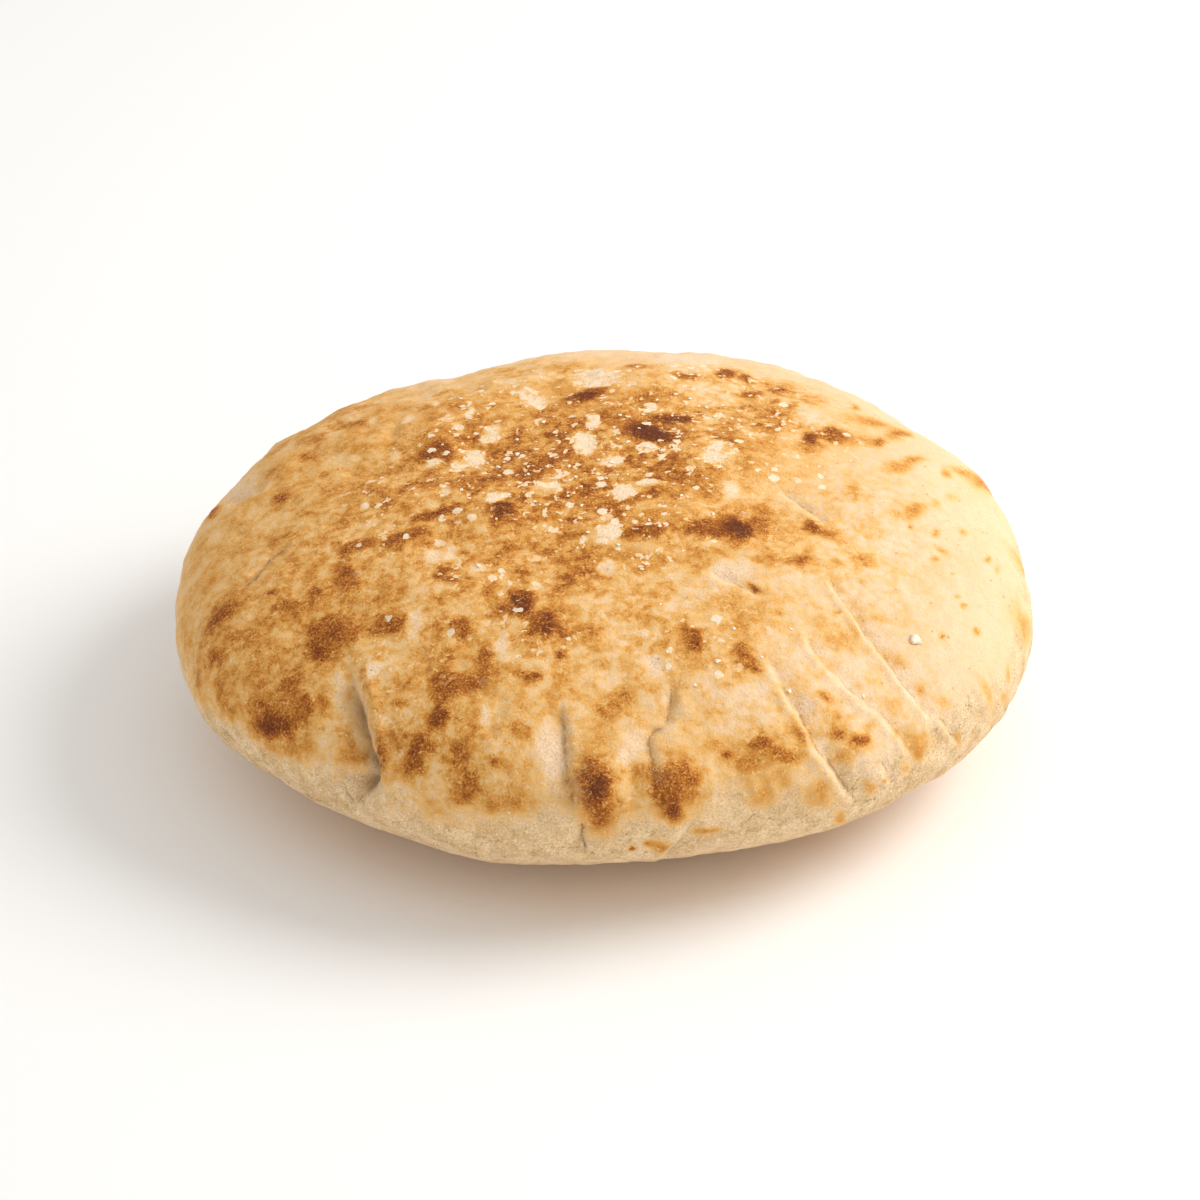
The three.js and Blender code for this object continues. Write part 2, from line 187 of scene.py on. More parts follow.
    (345.3, 13, 4, 2.7, 104, 0.5), (0, 15.3, 5.5, 2.7, 124, 0.42), (349, 28.5, 1.6, 0.6, 1, 0.45), (209, 43.9, 2.3, 1.6, 12, 0.76),
    (207.2, 39.9, 2.2, 1.5, 8, 0.76), (211.2, 49.8, 2.5, 1.8, 10, 0.8), (213.3, 49, 2.3, 1.7, 176, 0.72), (218.1, 41.5, 4.7, 3.5, 72, 0.86),
    (218.4, 36.9, 2.6, 2, 144, 0.9), (215.2, 42.7, 1.8, 1.3, 54, 0.88), (221.2, 42, 2.2, 1.7, 173, 0.82), (225.1, 47.4, 3.3, 1.7, 37, 0.8),
    (218.6, 49.5, 2, 1.6, 178, 0.6), (225.4, 36.9, 1.8, 1.2, 109, 0.62), (227.1, 38.3, 2.7, 0.9, 132, 0.6), (209, 21.5, 7.8, 3.7, 23, 0.6),
    (205, 19.6, 2, 1.3, 2, 0.72), (214.5, 24.6, 9.1, 4.1, 23, 0.56), (219.6, 25.9, 2.9, 2.7, 110, 0.76), (220.2, 14.1, 5.9, 3.3, 38, 0.86),
    (219.7, 12, 3.1, 1.7, 25, 1), (216.5, 18.6, 3, 2.1, 15, 0.72), (223.3, 24.2, 1.4, 1, 138, 0.86), (224.2, 27.3, 1.9, 1.6, 30, 0.62),
    (209.4, 11.2, 2.3, 1.3, 151, 0.62), (212.2, 6.3, 1.9, 1.4, 55, 0.6), (203.1, 6.7, 2.1, 1.5, 46, 0.72), (230.5, 20, 2.1, 1.6, 148, 0.62),
    (232.8, 13.6, 2.9, 1.5, 19, 0.62), (224.9, 8.6, 3, 1.8, 28, 0.52), (222.6, 8.2, 4, 1.8, 26, 0.62), (236.9, 32.5, 1.9, 1.3, 8, 0.76),
    (237, 36.9, 1.5, 1, 10, 0.62), (243.8, 31.9, 2.5, 1.1, 82, 0.9), (242.8, 24.2, 3.2, 2.1, 77, 0.86), (242.7, 21.8, 1.7, 1.5, 71, 0.92),
    (242.9, 18.2, 2, 1.8, 108, 0.76), (237.8, 18.9, 2.5, 1.2, 131, 0.76), (239, 23.9, 3.8, 3.4, 166, 0.56), (242.3, 38.8, 2.5, 2.1, 136, 0.8),
    (244.9, 38.3, 2.2, 1.6, 6, 0.76), (239, 43.4, 2.7, 2.1, 135, 0.7), (194.5, 15.4, 3.4, 1.5, 27, 0.48), (188.2, 14.4, 4.9, 1.9, 19, 0.45),
    (189.4, 21.6, 3.2, 1.5, 25, 0.5), (261.2, 48.9, 1.4, 1.3, 171, 0.9), (256.6, 43.8, 1.9, 1.5, 179, 0.98), (253.9, 43.9, 1.8, 1.6, 165, 0.62),
    (246.9, 46.2, 3.2, 1.9, 114, 0.86), (245.6, 40.9, 4.6, 2.2, 25, 0.82), (242.1, 39.5, 2.5, 1.7, 122, 0.86), (244.4, 32.9, 2, 1.4, 117, 0.86),
    (248, 32.2, 2.5, 1.8, 5, 0.66), (249.3, 25.6, 4.2, 2.1, 105, 0.7), (251, 12.6, 2.1, 1.8, 83, 0.76), (249, 18.5, 3.4, 1.8, 101, 0.66),
    (255.8, 10.9, 4.2, 2.5, 9, 0.64), (256.6, 32.3, 2.3, 2, 112, 0.66), (257.9, 21.3, 2.7, 1.4, 96, 0.5), (254, 23.2, 1, 1, 151, 0.66),
    (254.8, 37.4, 3.4, 2.3, 4, 0.48), (265.9, 53.9, 2.1, 1.4, 178, 0.66), (269, 47, 1, 0.9, 176, 0.62), (272.6, 47.5, 0.9, 0.9, 1, 0.56),
    (271.9, 40.5, 3.2, 1.8, 28, 0.74), (269.7, 38.2, 2, 1.9, 178, 0.6), (276.6, 42, 1.4, 1.2, 177, 0.5), (269.4, 32.1, 2.5, 1.3, 88, 0.5),
    (286.5, 50.4, 2.7, 2.1, 69, 0.84), (287.4, 50.7, 1.4, 1.2, 64, 0.94), (283.5, 48.6, 3.5, 3.1, 67, 0.6), (290.4, 50.9, 1.2, 1, 59, 0.62),
    (268.2, 16.7, 6.1, 3.5, 97, 0.82), (268.2, 16.7, 3.1, 1.9, 89, 1), (269, 8.2, 2.2, 2, 93, 0.85), (278.6, 17, 4.4, 3.7, 172, 0.7),
    (278.2, 8.8, 2.6, 1.6, 94, 0.95), (276.4, 21.7, 1.7, 1.6, 1, 0.78), (280, 18.5, 2.7, 1.9, 173, 0.78), (277.8, 14.7, 2.1, 2, 130, 0.8),
    (272.8, 11.5, 2, 1.7, 172, 0.48), (284.1, 26.3, 2.1, 2, 20, 0.52), (282.9, -5.4, 2.9, 0.9, 168, 0.66), (273.1, -9.4, 0.9, 0.4, 94, 1),
    (274.9, -7.9, 1, 0.8, 126, 0.82), (276.7, -9, 2.2, 1.8, 152, 0.66), (256.6, 53.1, 3.1, 2.3, 2, 0.7), (294.3, 45.2, 2.4, 1.9, 111, 0.86),
    (295.1, 42.7, 1.9, 1.1, 125, 0.76), (297.3, 51.9, 4, 3.6, 40, 0.52), (302.3, 52.4, 2, 1.2, 59, 0.52), (291.5, 24.5, 3.1, 1.6, 170, 0.76),
    (297.3, 25.5, 2.4, 1.8, 173, 0.72), (294.2, 19.7, 3.1, 1.4, 168, 0.78), (289.4, 19.3, 2.3, 1.4, 170, 0.66), (286.8, 23.3, 1.5, 0.9, 172, 0.78),
    (293.3, 24.3, 5.6, 3.7, 170, 0.52), (303.6, 31.7, 1.6, 1.2, 133, 0.72), (302.9, 21.9, 2.4, 1, 147, 0.74), (306.1, 17.8, 2.2, 1.2, 163, 0.8),
    (308.4, 20.8, 1.3, 1, 166, 0.62), (303.1, 16.6, 2.5, 2.2, 160, 0.52), (303.6, 26.2, 2.8, 1.9, 168, 0.46), (297.2, 28.2, 2.3, 1.5, 170, 0.42),
    (318.8, 32, 1.9, 1, 123, 0.38), (317.5, 35.3, 1.5, 1, 120, 0.36), (315.2, 8.9, 3.3, 2.2, 146, 0.46), (314.7, 3.6, 2, 1.3, 121, 0.52),
    (311.6, 16.1, 1.2, 1.1, 152, 0.52), (313.1, 24, 2.4, 1.2, 133, 0.42), (290.5, 7.8, 2.6, 2.2, 118, 0.56), (290.2, 14.9, 3.1, 2.2, 167, 0.42),
    (298.7, 3.3, 3.6, 2.6, 143, 0.44), (299.3, 4.6, 1.5, 1.1, 115, 0.52), (293.9, 12.2, 1.9, 1.2, 86, 0.52), (306.5, -0.9, 2.1, 1.2, 110, 0.56),
    (303, -13.8, 3.5, 1, 111, 0.52), (308.8, 0, 0.9, 0.5, 142, 0.72), (314.5, 43, 3.1, 2.9, 69, 0.38), (311.5, 42.5, 2.3, 1.2, 130, 0.42),
    (327.6, 31.1, 0.6, 0.4, 168, 0.72), (333.7, 25.9, 0.8, 0.5, 176, 0.46), (335.8, 31.9, 0.7, 0.3, 155, 0.6), (318.9, 23.5, 1, 0.9, 22, 0.5),
    (321.2, 17.2, 2, 1, 131, 0.42), (330, 6.6, 4.7, 1.2, 108, 0.44), (336.6, 6.6, 2, 1.5, 104, 0.46), (334.7, 0.4, 1.8, 0.8, 136, 0.42),
    (346.6, 9.1, 4, 2.4, 154, 0.38), (323.3, 0.2, 2.1, 0.9, 104, 0.4), (312.6, -0.1, 1.6, 0.9, 110, 0.5),
)
PALE = (
    (187.2, 48, 2.3, 1.4, 22, 0.4), (188.8, 52.2, 3, 2, 25, 0.3), (217.2, 61.2, 2.8, 1.6, 176, 0.7), (217.7, 63.9, 1.6, 1.3, 2, 0.7),
    (196.3, 66.5, 2.3, 1.5, 174, 0.5), (187.8, 57.8, 1.3, 0.9, 44, 0.6), (165.9, 52.4, 5.7, 1.8, 77, 0.4), (166.5, 30, 8.1, 3.8, 37, 0.5),
    (157, 36.7, 4.8, 3.1, 11, 0.35), (167.3, 60.9, 3.1, 1.6, 24, 0.45), (172.5, 66.6, 2.4, 1.4, 78, 0.5), (173.3, 70.2, 2.2, 1.5, 23, 0.55),
    (149.6, 58.2, 1.9, 1, 48, 0.7), (149.8, 66.3, 1.7, 1, 46, 0.7), (150.6, 52, 2.1, 1, 45, 0.5), (196.5, 48.1, 2.2, 1.3, 81, 0.4),
    (229.8, 49.1, 3.8, 1.8, 128, 0.55), (139.1, 58, 1.8, 0.8, 58, 0.7), (178.6, 29.3, 6.5, 2.2, 25, 0.25), (180.6, 40.6, 4.2, 2, 39, 0.25),
    (125.8, 43.5, 8.9, 3.9, 83, 0.4), (187.2, 14.6, 8.1, 2.8, 16, 0.3), (169.3, 46.7, 9, 1.5, 78, 0.25), (117.2, 82.5, 3.7, 2.1, 71, 0.9),
    (100.5, 77.1, 2.8, 1.4, 77, 0.75), (147.2, 71.2, 3.1, 2.3, 39, 0.6), (166.2, 71.8, 3.6, 1.9, 19, 0.85), (209.2, 81.5, 3.5, 2.7, 44, 0.6),
    (204.2, 73.9, 2.3, 1.6, 47, 0.85), (189.1, 68.7, 2, 1.1, 179, 0.6), (269.4, 74.4, 3.3, 2.1, 89, 0.75), (268.9, 67.3, 2.2, 1.8, 92, 0.65),
    (236.2, 73.9, 3.3, 1.5, 23, 0.5), (8.3, 75.8, 3.2, 2.9, 107, 0.75), (340.4, 72.9, 2.6, 1.5, 17, 0.75), (286.7, 83, 2.3, 1.8, 53, 0.9),
    (319.2, 83, 2.6, 0.8, 134, 1), (117.9, 66.9, 3.7, 2.3, 77, 0.7), (118.1, 63.2, 2.5, 1.8, 128, 0.55), (93.2, 63.2, 5, 4.4, 132, 0.65),
    (71.9, 50.4, 7.8, 7.4, 9, 0.7), (220, 62.6, 2.4, 2, 177, 0.6), (216.8, 69.2, 2.5, 1.8, 148, 0.45), (303.2, 61.9, 2.6, 2.2, 52, 0.65),
    (141, 65.5, 2.4, 0.9, 51, 0.6), (39.6, 82.9, 1.5, 1.4, 43, 0.8), (84.1, 88.7, 1.9, 1.6, 174, 0.7), (70.5, 72.4, 1.5, 1.2, 22, 0.6),
    (230.6, 62.5, 1.5, 1.1, 19, 0.7), (229.9, 57.3, 1.9, 0.8, 24, 0.4), (268.3, 56.8, 2.4, 0.8, 117, 0.5), (248.3, 61.6, 1.8, 1.2, 10, 0.4),
    (266.8, 77.5, 1.5, 1.4, 108, 0.6), (118.5, 57.6, 2.8, 2, 110, 0.5), (97.9, 50.2, 3.9, 1.9, 87, 0.3), (18.8, 74.5, 2.3, 2.1, 105, 0.6),
    (82.1, 81, 1.1, 1.1, 147, 0.4), (307.9, 60.9, 3.6, 3.2, 3, 0.55), (9.6, 73.5, 3, 2, 164, 0.45), (30.6, 56.6, 5.4, 3.5, 147, 0.5),
    (315.9, 54.9, 3.8, 1.6, 149, 0.3), (350.3, 69.6, 4.1, 2.6, 31, 0.3), (229.3, 38.5, 2.8, 1, 126, 0.7), (229.9, 49.5, 3.4, 1.7, 129, 0.5),
    (226.9, 29.3, 7.4, 2.2, 129, 0.5), (228.3, 18.2, 3.8, 2.5, 115, 0.35), (231.7, 23.4, 5.8, 2.3, 122, 0.45), (236, 10.4, 3.9, 2, 96, 0.7),
    (230.7, 41.6, 3.1, 2.4, 177, 0.35), (249, 49, 3.8, 1.3, 109, 0.6), (278.6, 46.5, 2.6, 1.8, 78, 0.7), (251, 34.9, 2.7, 1.2, 107, 0.5),
    (261.6, 27.2, 6.6, 2.7, 99, 0.75), (273.7, 29.8, 3.4, 2.9, 82, 0.6), (271.9, 25.6, 2.1, 1.3, 86, 0.6), (266.1, 37.4, 2.3, 1.7, 92, 0.5),
    (281, 36.8, 3.1, 2.3, 175, 0.35), (277.9, 52.8, 1.1, 0.9, 79, 0.7), (272.8, 51, 1.4, 1.3, 0, 0.5), (258, 34.4, 1.5, 1, 123, 0.4),
    (277, 24.8, 1.4, 1.3, 50, 0.4), (247.7, 22.7, 2.1, 1.4, 107, 0.3), (279.3, 40.4, 2.8, 0.9, 75, 0.5), (301.7, 48, 1, 0.7, 53, 0.6),
    (300.6, 32.1, 2.3, 1.6, 80, 0.35), (296.2, 30.8, 2.4, 2.2, 38, 0.3),
)
# low humps and hollows: the last number is mm
RELIEF = (
    (160.9, 52.9, 8.9, 4.8, 68, 0.8), (155.8, 57.9, 8.4, 1.3, 21, -0.6), (173.6, 57.9, 5.4, 1.6, 76, -0.45), (160.8, 66, 8.5, 4.8, 31, 0.6),
    (163, 40.6, 5.7, 4.1, 26, 0.6), (168.8, 35.7, 6.1, 2.5, 95, -0.5), (127, 45.5, 10, 3.9, 89, 0.5), (127.1, 54.2, 3.1, 1.9, 99, -0.45),
    (150.2, 41.8, 6.4, 2.8, 85, -0.35), (188.1, 63.9, 6, 2.6, 75, 0.4), (176.7, 48.1, 5.4, 3, 88, 0.4), (215.2, 80.9, 4, 2.2, 42, 0.4),
    (206, 82.1, 1.9, 1.7, 39, -0.65), (116.5, 58.6, 5.8, 3.4, 168, 0.4), (117.1, 66.2, 6.1, 1.9, 160, -0.4), (80.1, 62.9, 5.9, 3, 170, 0.35),
    (89.1, 55.4, 4.7, 2.2, 167, -0.3), (159.3, 70.2, 3.3, 2, 12, -0.4), (117.2, 82.5, 4.3, 2.2, 70, -0.35), (319.4, 82.7, 4.4, 1.3, 139, 0.35),
    (340.9, 81.5, 2.5, 1.2, 111, -0.4), (8.5, 76.3, 3.5, 3.2, 144, -0.3), (257, 75.1, 2.4, 2.1, 114, 0.3), (268, 15.4, 5.7, 3.7, 94, 0.9),
    (278.6, 17.6, 5.4, 4.1, 90, 0.8), (272.9, 21.7, 5.4, 1.7, 86, -0.6), (277.6, -11.8, 3.7, 2.1, 58, 0.4), (255.7, 14.4, 7.5, 5.8, 92, 0.5),
    (278.2, 46.2, 2.5, 2, 77, -0.35), (292.6, 23.5, 5.6, 4, 171, 0.5), (302.7, 32.1, 3.3, 2.5, 132, 0.35), (304, 18.6, 3.6, 2.6, 151, 0.45),
    (297.8, 3.1, 3.9, 2.8, 147, 0.5), (311.5, 7.9, 4.1, 2.8, 98, -0.3), (328.6, 9.5, 5.7, 3.7, 115, 0.3), (289.1, 0.7, 4.8, 2.6, 163, -0.4),
    (218.5, 15.1, 6.7, 4.2, 22, 0.5), (230.9, 18.3, 3.1, 2.8, 123, 0.35), (207.4, 21.5, 7.4, 5.1, 174, 0.3), (218.7, 40.9, 4.2, 2.9, 50, 0.35),
    (242.3, 25.6, 5.2, 3.7, 98, 0.4), (233.2, 43.5, 4, 2.6, 13, -0.35),
)
# where loose flour clings
FLOURED = (
    (111.8, 86.4, 23.2, 16.2, 154, 0.75), (125.2, 66.4, 14.9, 10.4, 152, 0.55), (37.5, 71.4, 15.9, 12.9, 63, 0.8), (224.8, 82.5, 18, 8.7, 34, 0.8),
    (264.6, 75.8, 13.1, 8, 179, 0.65), (164.8, 71.8, 12.2, 10.6, 14, 0.55), (290.3, 69.9, 10.2, 6.4, 163, 0.5), (237.8, 62.4, 14.9, 8.2, 18, 0.3),
    (12.4, 63.8, 14.2, 10.3, 145, 0.35), (188.7, 62.6, 18.5, 12.6, 167, 0.28), (288.2, 49.8, 12.7, 11.5, 3, 0.25),
    (233.2, 46.5, 14.6, 10.8, 136, 0.2), (231.5, 33.5, 12.4, 4.2, 122, 0.3), (74, 62.9, 24.1, 8.6, 19, 0.5), (253.6, 51.3, 11, 9.4, 175, 0.25),
)
# loose bits of flour and dried dough: azimuth, latitude, width (mm)
BITS = (
    (125.2, 74, 1), (145.3, 74.9, 0.8), (159.5, 77.1, 1), (175.1, 75.4, 1), (150.5, 66.4, 1), (231.3, 84.1, 0.7), (198.6, 70.9, 0.8),
    (175.8, 79.3, 0.8), (185.8, 79.4, 0.9), (176.5, 84.9, 0.9), (135.9, 87.5, 0.9), (205.5, 85.2, 0.8), (247.9, 79.7, 0.9), (56.8, 73.5, 0.8),
    (65.3, 67.4, 0.9), (43.9, 68.9, 1), (39.4, 67.6, 0.8), (51.6, 67.9, 0.9), (84.3, 76.1, 1), (64.5, 83.4, 0.9), (40.5, 83, 1), (28.3, 80.1, 0.9),
    (90.1, 88.7, 1), (323.1, 77.7, 0.9), (258.2, 74.3, 0.8), (273.1, 71.3, 0.9), (280.9, 65.8, 0.8), (294, 73.5, 0.7), (292.2, 75.3, 0.8),
    (320.2, 72.1, 1), (345.5, 76.5, 0.8), (191.5, 70.4, 0.9), (236.1, 77.6, 0.6), (58.8, 67.3, 0.8), (86, 79.9, 0.9), (94.1, 70.9, 0.5),
    (230, 62.8, 1), (69.2, 70.2, 0.8), (58.5, 57.6, 0.6), (143.2, 66.3, 0.8), (226.2, 79.4, 0.5), (196, 76.5, 0.6), (219.4, 77.4, 0.7),
    (170.6, 73.9, 0.6), (323.6, 34.7, 2.3), (309.9, 29, 0.8), (299.2, 35.6, 1), (289.3, 44.5, 1.1), (295.6, 49.8, 0.7), (305.6, 47.2, 0.7),
    (256.8, 6.7, 0.5), (66.1, 79.3, 0.6),
)


# ---------------------------------------------------------------- repeatable noise
_rng = np.random.default_rng(20)
_perm = _rng.permutation(256)
_perm = np.concatenate([_perm, _perm, _perm])
_grad = _rng.normal(size=(256, 3))
_grad /= np.linalg.norm(_grad, axis=1, keepdims=True)


def noise(p, size, seed=0.0):
    """Smooth noise of about -1 to 1 with features of that size."""
    q = p / size + np.array([seed * 17.3, seed * 5.1, seed * 9.7])
    i = np.floor(q).astype(int)
    f = q - i
    w = f * f * f * (f * (f * 6 - 15) + 10)
    total = 0.0
    for dx in (0, 1):
        for dy in (0, 1):
            for dz in (0, 1):
                k = _perm[_perm[_perm[(i[:, 0] + dx) & 255] + ((i[:, 1] + dy) & 255)] + ((i[:, 2] + dz) & 255)]
                d = f - np.array([dx, dy, dz])
                g = (_grad[k] * d).sum(1)
                wx = w[:, 0] if dx else 1 - w[:, 0]
                wy = w[:, 1] if dy else 1 - w[:, 1]
                wz = w[:, 2] if dz else 1 - w[:, 2]
                total = total + g * wx * wy * wz
    return total * 1.7


def layered(p, size, seed=0.0, octaves=3):
    total, amp, norm = 0.0, 1.0, 0.0
    for o in range(octaves):
        total = total + amp * noise(p, size / 2**o, seed + o * 3.7)
        norm += amp
        amp *= 0.55
    return total / norm


# ---------------------------------------------------------------- the crust as rings of vertices
TOP_STEP, UNDER_STEP, SPLIT_LAT = 0.655, 1.35, -26.0
lats = np.linspace(90, -90, 3601)
mid = np.stack([np.linalg.norm(cushion(np.full_like(lats, a), lats)[:, :2], axis=1) for a in range(0, 360, 30)]).mean(0)
zs = cushion(np.zeros_like(lats), lats)[:, 2]
zs = np.maximum(zs, 0)
arc = np.concatenate([[0], np.cumsum(np.hypot(np.diff(mid), np.diff(zs)))])
foot = lats[np.argmax(zs[1:] <= 0) + 1]


def step_at(lat):
    return TOP_STEP + (UNDER_STEP - TOP_STEP) * smooth(-8, -38, lat)


ring_lat = [90.0]
s = 0.0
while True:
    lat_now = float(np.interp(s, arc, lats))
    s += float(step_at(lat_now)) * 0.866
    if s > arc[-1] - 0.6:
        break
    ring_lat.append(float(np.interp(s, arc, lats)))
ring_lat.append(-90.0)
ring_lat = np.array(ring_lat)
ring_arc = np.interp(-ring_lat, -lats, arc)
ring_r = np.interp(-ring_lat, -lats, mid)
ring_n = [1] + [max(6, int(round(2 * math.pi * r / step_at(la)))) for r, la in zip(ring_r[1:-1], ring_lat[1:-1])] + [1]
V_az, V_lat, V_ring, starts, offs = [], [], [], [], []
for k, (la, n) in enumerate(zip(ring_lat, ring_n)):
    starts.append(len(V_az))
    off = 0.5 * (k % 2)
    offs.append(off)
    for j in range(n):
        V_az.append(360.0 * (j + off) / n if n > 1 else 0.0)
        V_lat.append(la)
        V_ring.append(k)
V_az, V_lat, V_ring = np.array(V_az), np.array(V_lat), np.array(V_ring)

tris, tri_top = [], []
split_ring = int(np.argmax(ring_lat < SPLIT_LAT))
for k in range(len(ring_n) - 1):
    a0, na, oa = starts[k], ring_n[k], offs[k]
    b0, nb, ob = starts[k + 1], ring_n[k + 1], offs[k + 1]
    top = k < split_ring
    if na == 1:
        for j in range(nb):
            tris.append((a0, b0 + j, b0 + (j + 1) % nb))
    elif nb == 1:
        for j in range(na):
            tris.append((b0, a0 + (j + 1) % na, a0 + j))
    else:
        i = j = 0
        while i < na or j < nb:
            # take the step whose end is nearer in azimuth
            next_a = (i + 1 + oa) / na
            next_b = (j + 1 + ob) / nb
            if j >= nb or (i < na and next_a < next_b):
                tris.append((a0 + i % na, b0 + j % nb, a0 + (i + 1) % na))
                i += 1
            else:
                tris.append((a0 + i % na, b0 + j % nb, b0 + (j + 1) % nb))
                j += 1
    tri_top += [top] * (len(tris) - len(tri_top))
tris = np.array(tris)
tri_top = np.array(tri_top)

base = cushion(V_az, V_lat)
normal = facing(V_az, V_lat)
on_foot = base[:, 2] <= 0
flat = base.copy()
flat[:, 2] = np.maximum(flat[:, 2], 0)


def local_axes(az, lat):
    a = cushion(az + 0.3, lat) - cushion(az - 0.3, lat)
    b = cushion(az, lat + 0.3) - cushion(az, lat - 0.3)
    ea = a / np.linalg.norm(a)
    el = b - ea * (b @ ea)
    el = el / np.linalg.norm(el)
    return ea, el, np.cross(ea, el)


def ellipse(p, az, lat, r1, r2, angle):
    """Squared distance from a place on the crust, in units of its two radii."""
    ea, el, en = local_axes(az, min(lat, 89.0))
    t = math.radians(angle)
    d1, d2 = ea * math.cos(t) + el * math.sin(t), -ea * math.sin(t) + el * math.cos(t)
    rel = p - cushion(az, lat)
    return (rel @ d1 / r1) ** 2 + (rel @ d2 / r2) ** 2 + (rel @ en / (max(r1, r2) * 0.8 + 4)) ** 2


def through(places, steps=7):
    """A smooth path through the given places."""
    a = np.array(places, float)
    a = np.vstack([2 * a[0] - a[1], a, 2 * a[-1] - a[-2]])
    path = []
    for i in range(1, len(a) - 2):
        for k in range(steps):
            u = k / steps
            path.append(
                0.5
                * (
                    2 * a[i]
                    + (a[i + 1] - a[i - 1]) * u
                    + (2 * a[i - 1] - 5 * a[i] + 4 * a[i + 1] - a[i + 2]) * u**2
                    + (3 * a[i] - a[i - 1] - 3 * a[i + 1] + a[i + 2]) * u**3
                )
            )
    path.append(a[-2])
    return np.array(path)


def fold_at(f, p, n):
    places, depth, left, right, lip, crack = f
    al = through(places)
    path = cushion(al[:, 0], al[:, 1])
    # the line wanders a little, as real puckers do
    path = path + 0.35 * np.stack([noise(path, 3.2, 1), noise(path, 3.2, 2), noise(path, 3.2, 3)], -1)
    near = np.linalg.norm(p - path.mean(0), axis=1) < 60
    q, nn = p[near], n[near]
    best = np.full(len(q), 1e9)
    side, along = np.ones(len(q)), np.zeros(len(q))
    for i in range(len(path) - 1):
        seg = path[i + 1] - path[i]
        rel = q - path[i]
        t = np.clip((rel @ seg) / (seg @ seg), 0, 1)
        away = rel - t[:, None] * seg
        d = np.linalg.norm(away, axis=1)
        m = d < best
        best = np.where(m, d, best)
        along = np.where(m, (i + t) / (len(path) - 1), along)
        side = np.where(m, np.where((np.cross(np.broadcast_to(seg, away.shape), away) * nn).sum(1) > 0, 1.0, -1.0), side)
    fade = smooth(0, 0.2, along) * (1 - smooth(0.85, 1, along)) * 0.92 + 0.08
    fade = fade * np.clip(1 + 0.35 * noise(q, 4.5, 4), 0.4, 1.5)
    reach = np.where(side > 0, right, left)
    h = -depth * np.exp(-((best / reach) ** 1.25))
    lip_side = np.where(lip * side > 0, 1, 0.2)
    h = h + abs(lip) * lip_side * np.exp(-(((best - 1.7 * reach) / (0.9 * reach)) ** 2))
    broken = np.clip(0.6 + 0.9 * noise(q, 2.2, 5), 0, 1.3)
    h = h - 0.6 * crack * broken * np.exp(-((best / 0.75) ** 1.5))
    height, line, worn, strip, line_shade, crest_highlight = (np.zeros(len(p)) for _ in range(6))
    gap = np.full(len(p), 9.0)
    gap[near] = best * side * (1 if lip > 0 else -1)
    inside = smooth(0, 0.15, along) * (1 - smooth(0.85, 1, along)) * (1 - smooth(2.4, 3.4, best))
    # strength of the painted shade line along the fold, and of the painted highlight on its crest
    line_shade[near] = crack * inside
    crest_highlight[near] = min(1.1 * abs(lip), 0.6) * inside
    height[near] = np.where(best > 24, 0, h * fade)
    # painted shade: a thin dark line along the crack, and on deep folds a wider dark valley beside it
    line[near] = np.maximum(
        crack * broken * fade * np.exp(-((best / 0.7) ** 2)),
        1.8 * np.clip(depth - 0.9, 0, 1) * fade * np.exp(-((best / np.where(side > 0, 0.7, 2.4)) ** 2)),
    )
    strip[near] = np.clip(depth, 0, 1) * fade * np.exp(-((best / 3.2) ** 2))
    # the crust to the right of a fold is torn and crumbly
    worn[near] = np.clip(depth, 0, 1) * fade * np.where(side > 0, np.exp(-((best / 3.6) ** 2)), np.exp(-((best / 1.2) ** 2)))
    return height, line, worn, strip, gap, line_shade, crest_highlight


# ---------------------------------------------------------------- relief
lift = np.zeros(len(base))
fold_shade, worn, untoasted, fold_line_shade, fold_crest_highlight = (np.zeros(len(base)) for _ in range(5))
fold_gap = np.full(len(base), 9.0)
for height, wx, wy, phase in SWELLS:
    lift += height * np.sin((wx * base[:, 0] + wy * base[:, 1]) * 2 * math.pi / 100 + phase)
for at, height, radius in BLISTERS:
    lift += height * np.exp(-((np.linalg.norm(base - cushion(*at), axis=1) / radius) ** 2))
for f in FOLDS:
    h, line, torn, strip, gap, line_shade, crest_highlight = fold_at(f, base, normal)
    nearer = np.abs(gap) < np.abs(fold_gap)
    fold_gap = np.where(nearer, gap, fold_gap)
    fold_line_shade = np.where(nearer, line_shade, fold_line_shade)
    fold_crest_highlight = np.where(nearer, crest_highlight, fold_crest_highlight)
    lift += h
    fold_shade = np.maximum(fold_shade, line)
    worn = np.maximum(worn, torn)
    untoasted = np.maximum(untoasted, strip)
for az, lat, r1, r2, angle, height in RELIEF:
    lift += height * np.exp(-ellipse(base, az, lat, r1, r2, angle))

# ---------------------------------------------------------------- toasting
warp = 1.3 * np.stack([layered(base, 5.0, 11 + k, 3) for k in range(3)], -1)
place = base + warp
broad = layered(base, 26, 31, 2)
toast = 0.10 + 0.05 * broad
mottle = np.full(len(base), 0.25)
for az, lat, r1, r2, angle, level in TOASTED:
    g = np.exp(-0.7 * ellipse(place, az, lat, r1, r2, angle) ** 1.2)
    toast = np.maximum(toast, level * g + toast * (1 - g))
    mottle = np.maximum(mottle, g)
# the side away from the front: the same kind of browning, scattered at random
FRONT = np.array([0.0, -math.cos(math.radians(32)), math.sin(math.radians(32))])
back = smooth(0.03, 0.25, -(normal @ FRONT)) * smooth(-22, 4, V_lat)
away = np.clip(0.30 + 0.35 * layered(base, 30, 41, 3), 0.05, 0.6) * smooth(-18, 8, V_lat)
toast = toast + np.maximum(away - toast, 0) * back
mottle = np.maximum(mottle, 0.9 * back)
# the folds on the right kept pale, and so did the floury band near the rim
toast *= 1 - 0.45 * untoasted * smooth(288, 298, V_az)
toast *= 0.14 + 0.86 * smooth(-13, 14, V_lat + 10 * noise(base, 13, 51) + 7 * noise(base, 4.5, 52) - 4 * back)

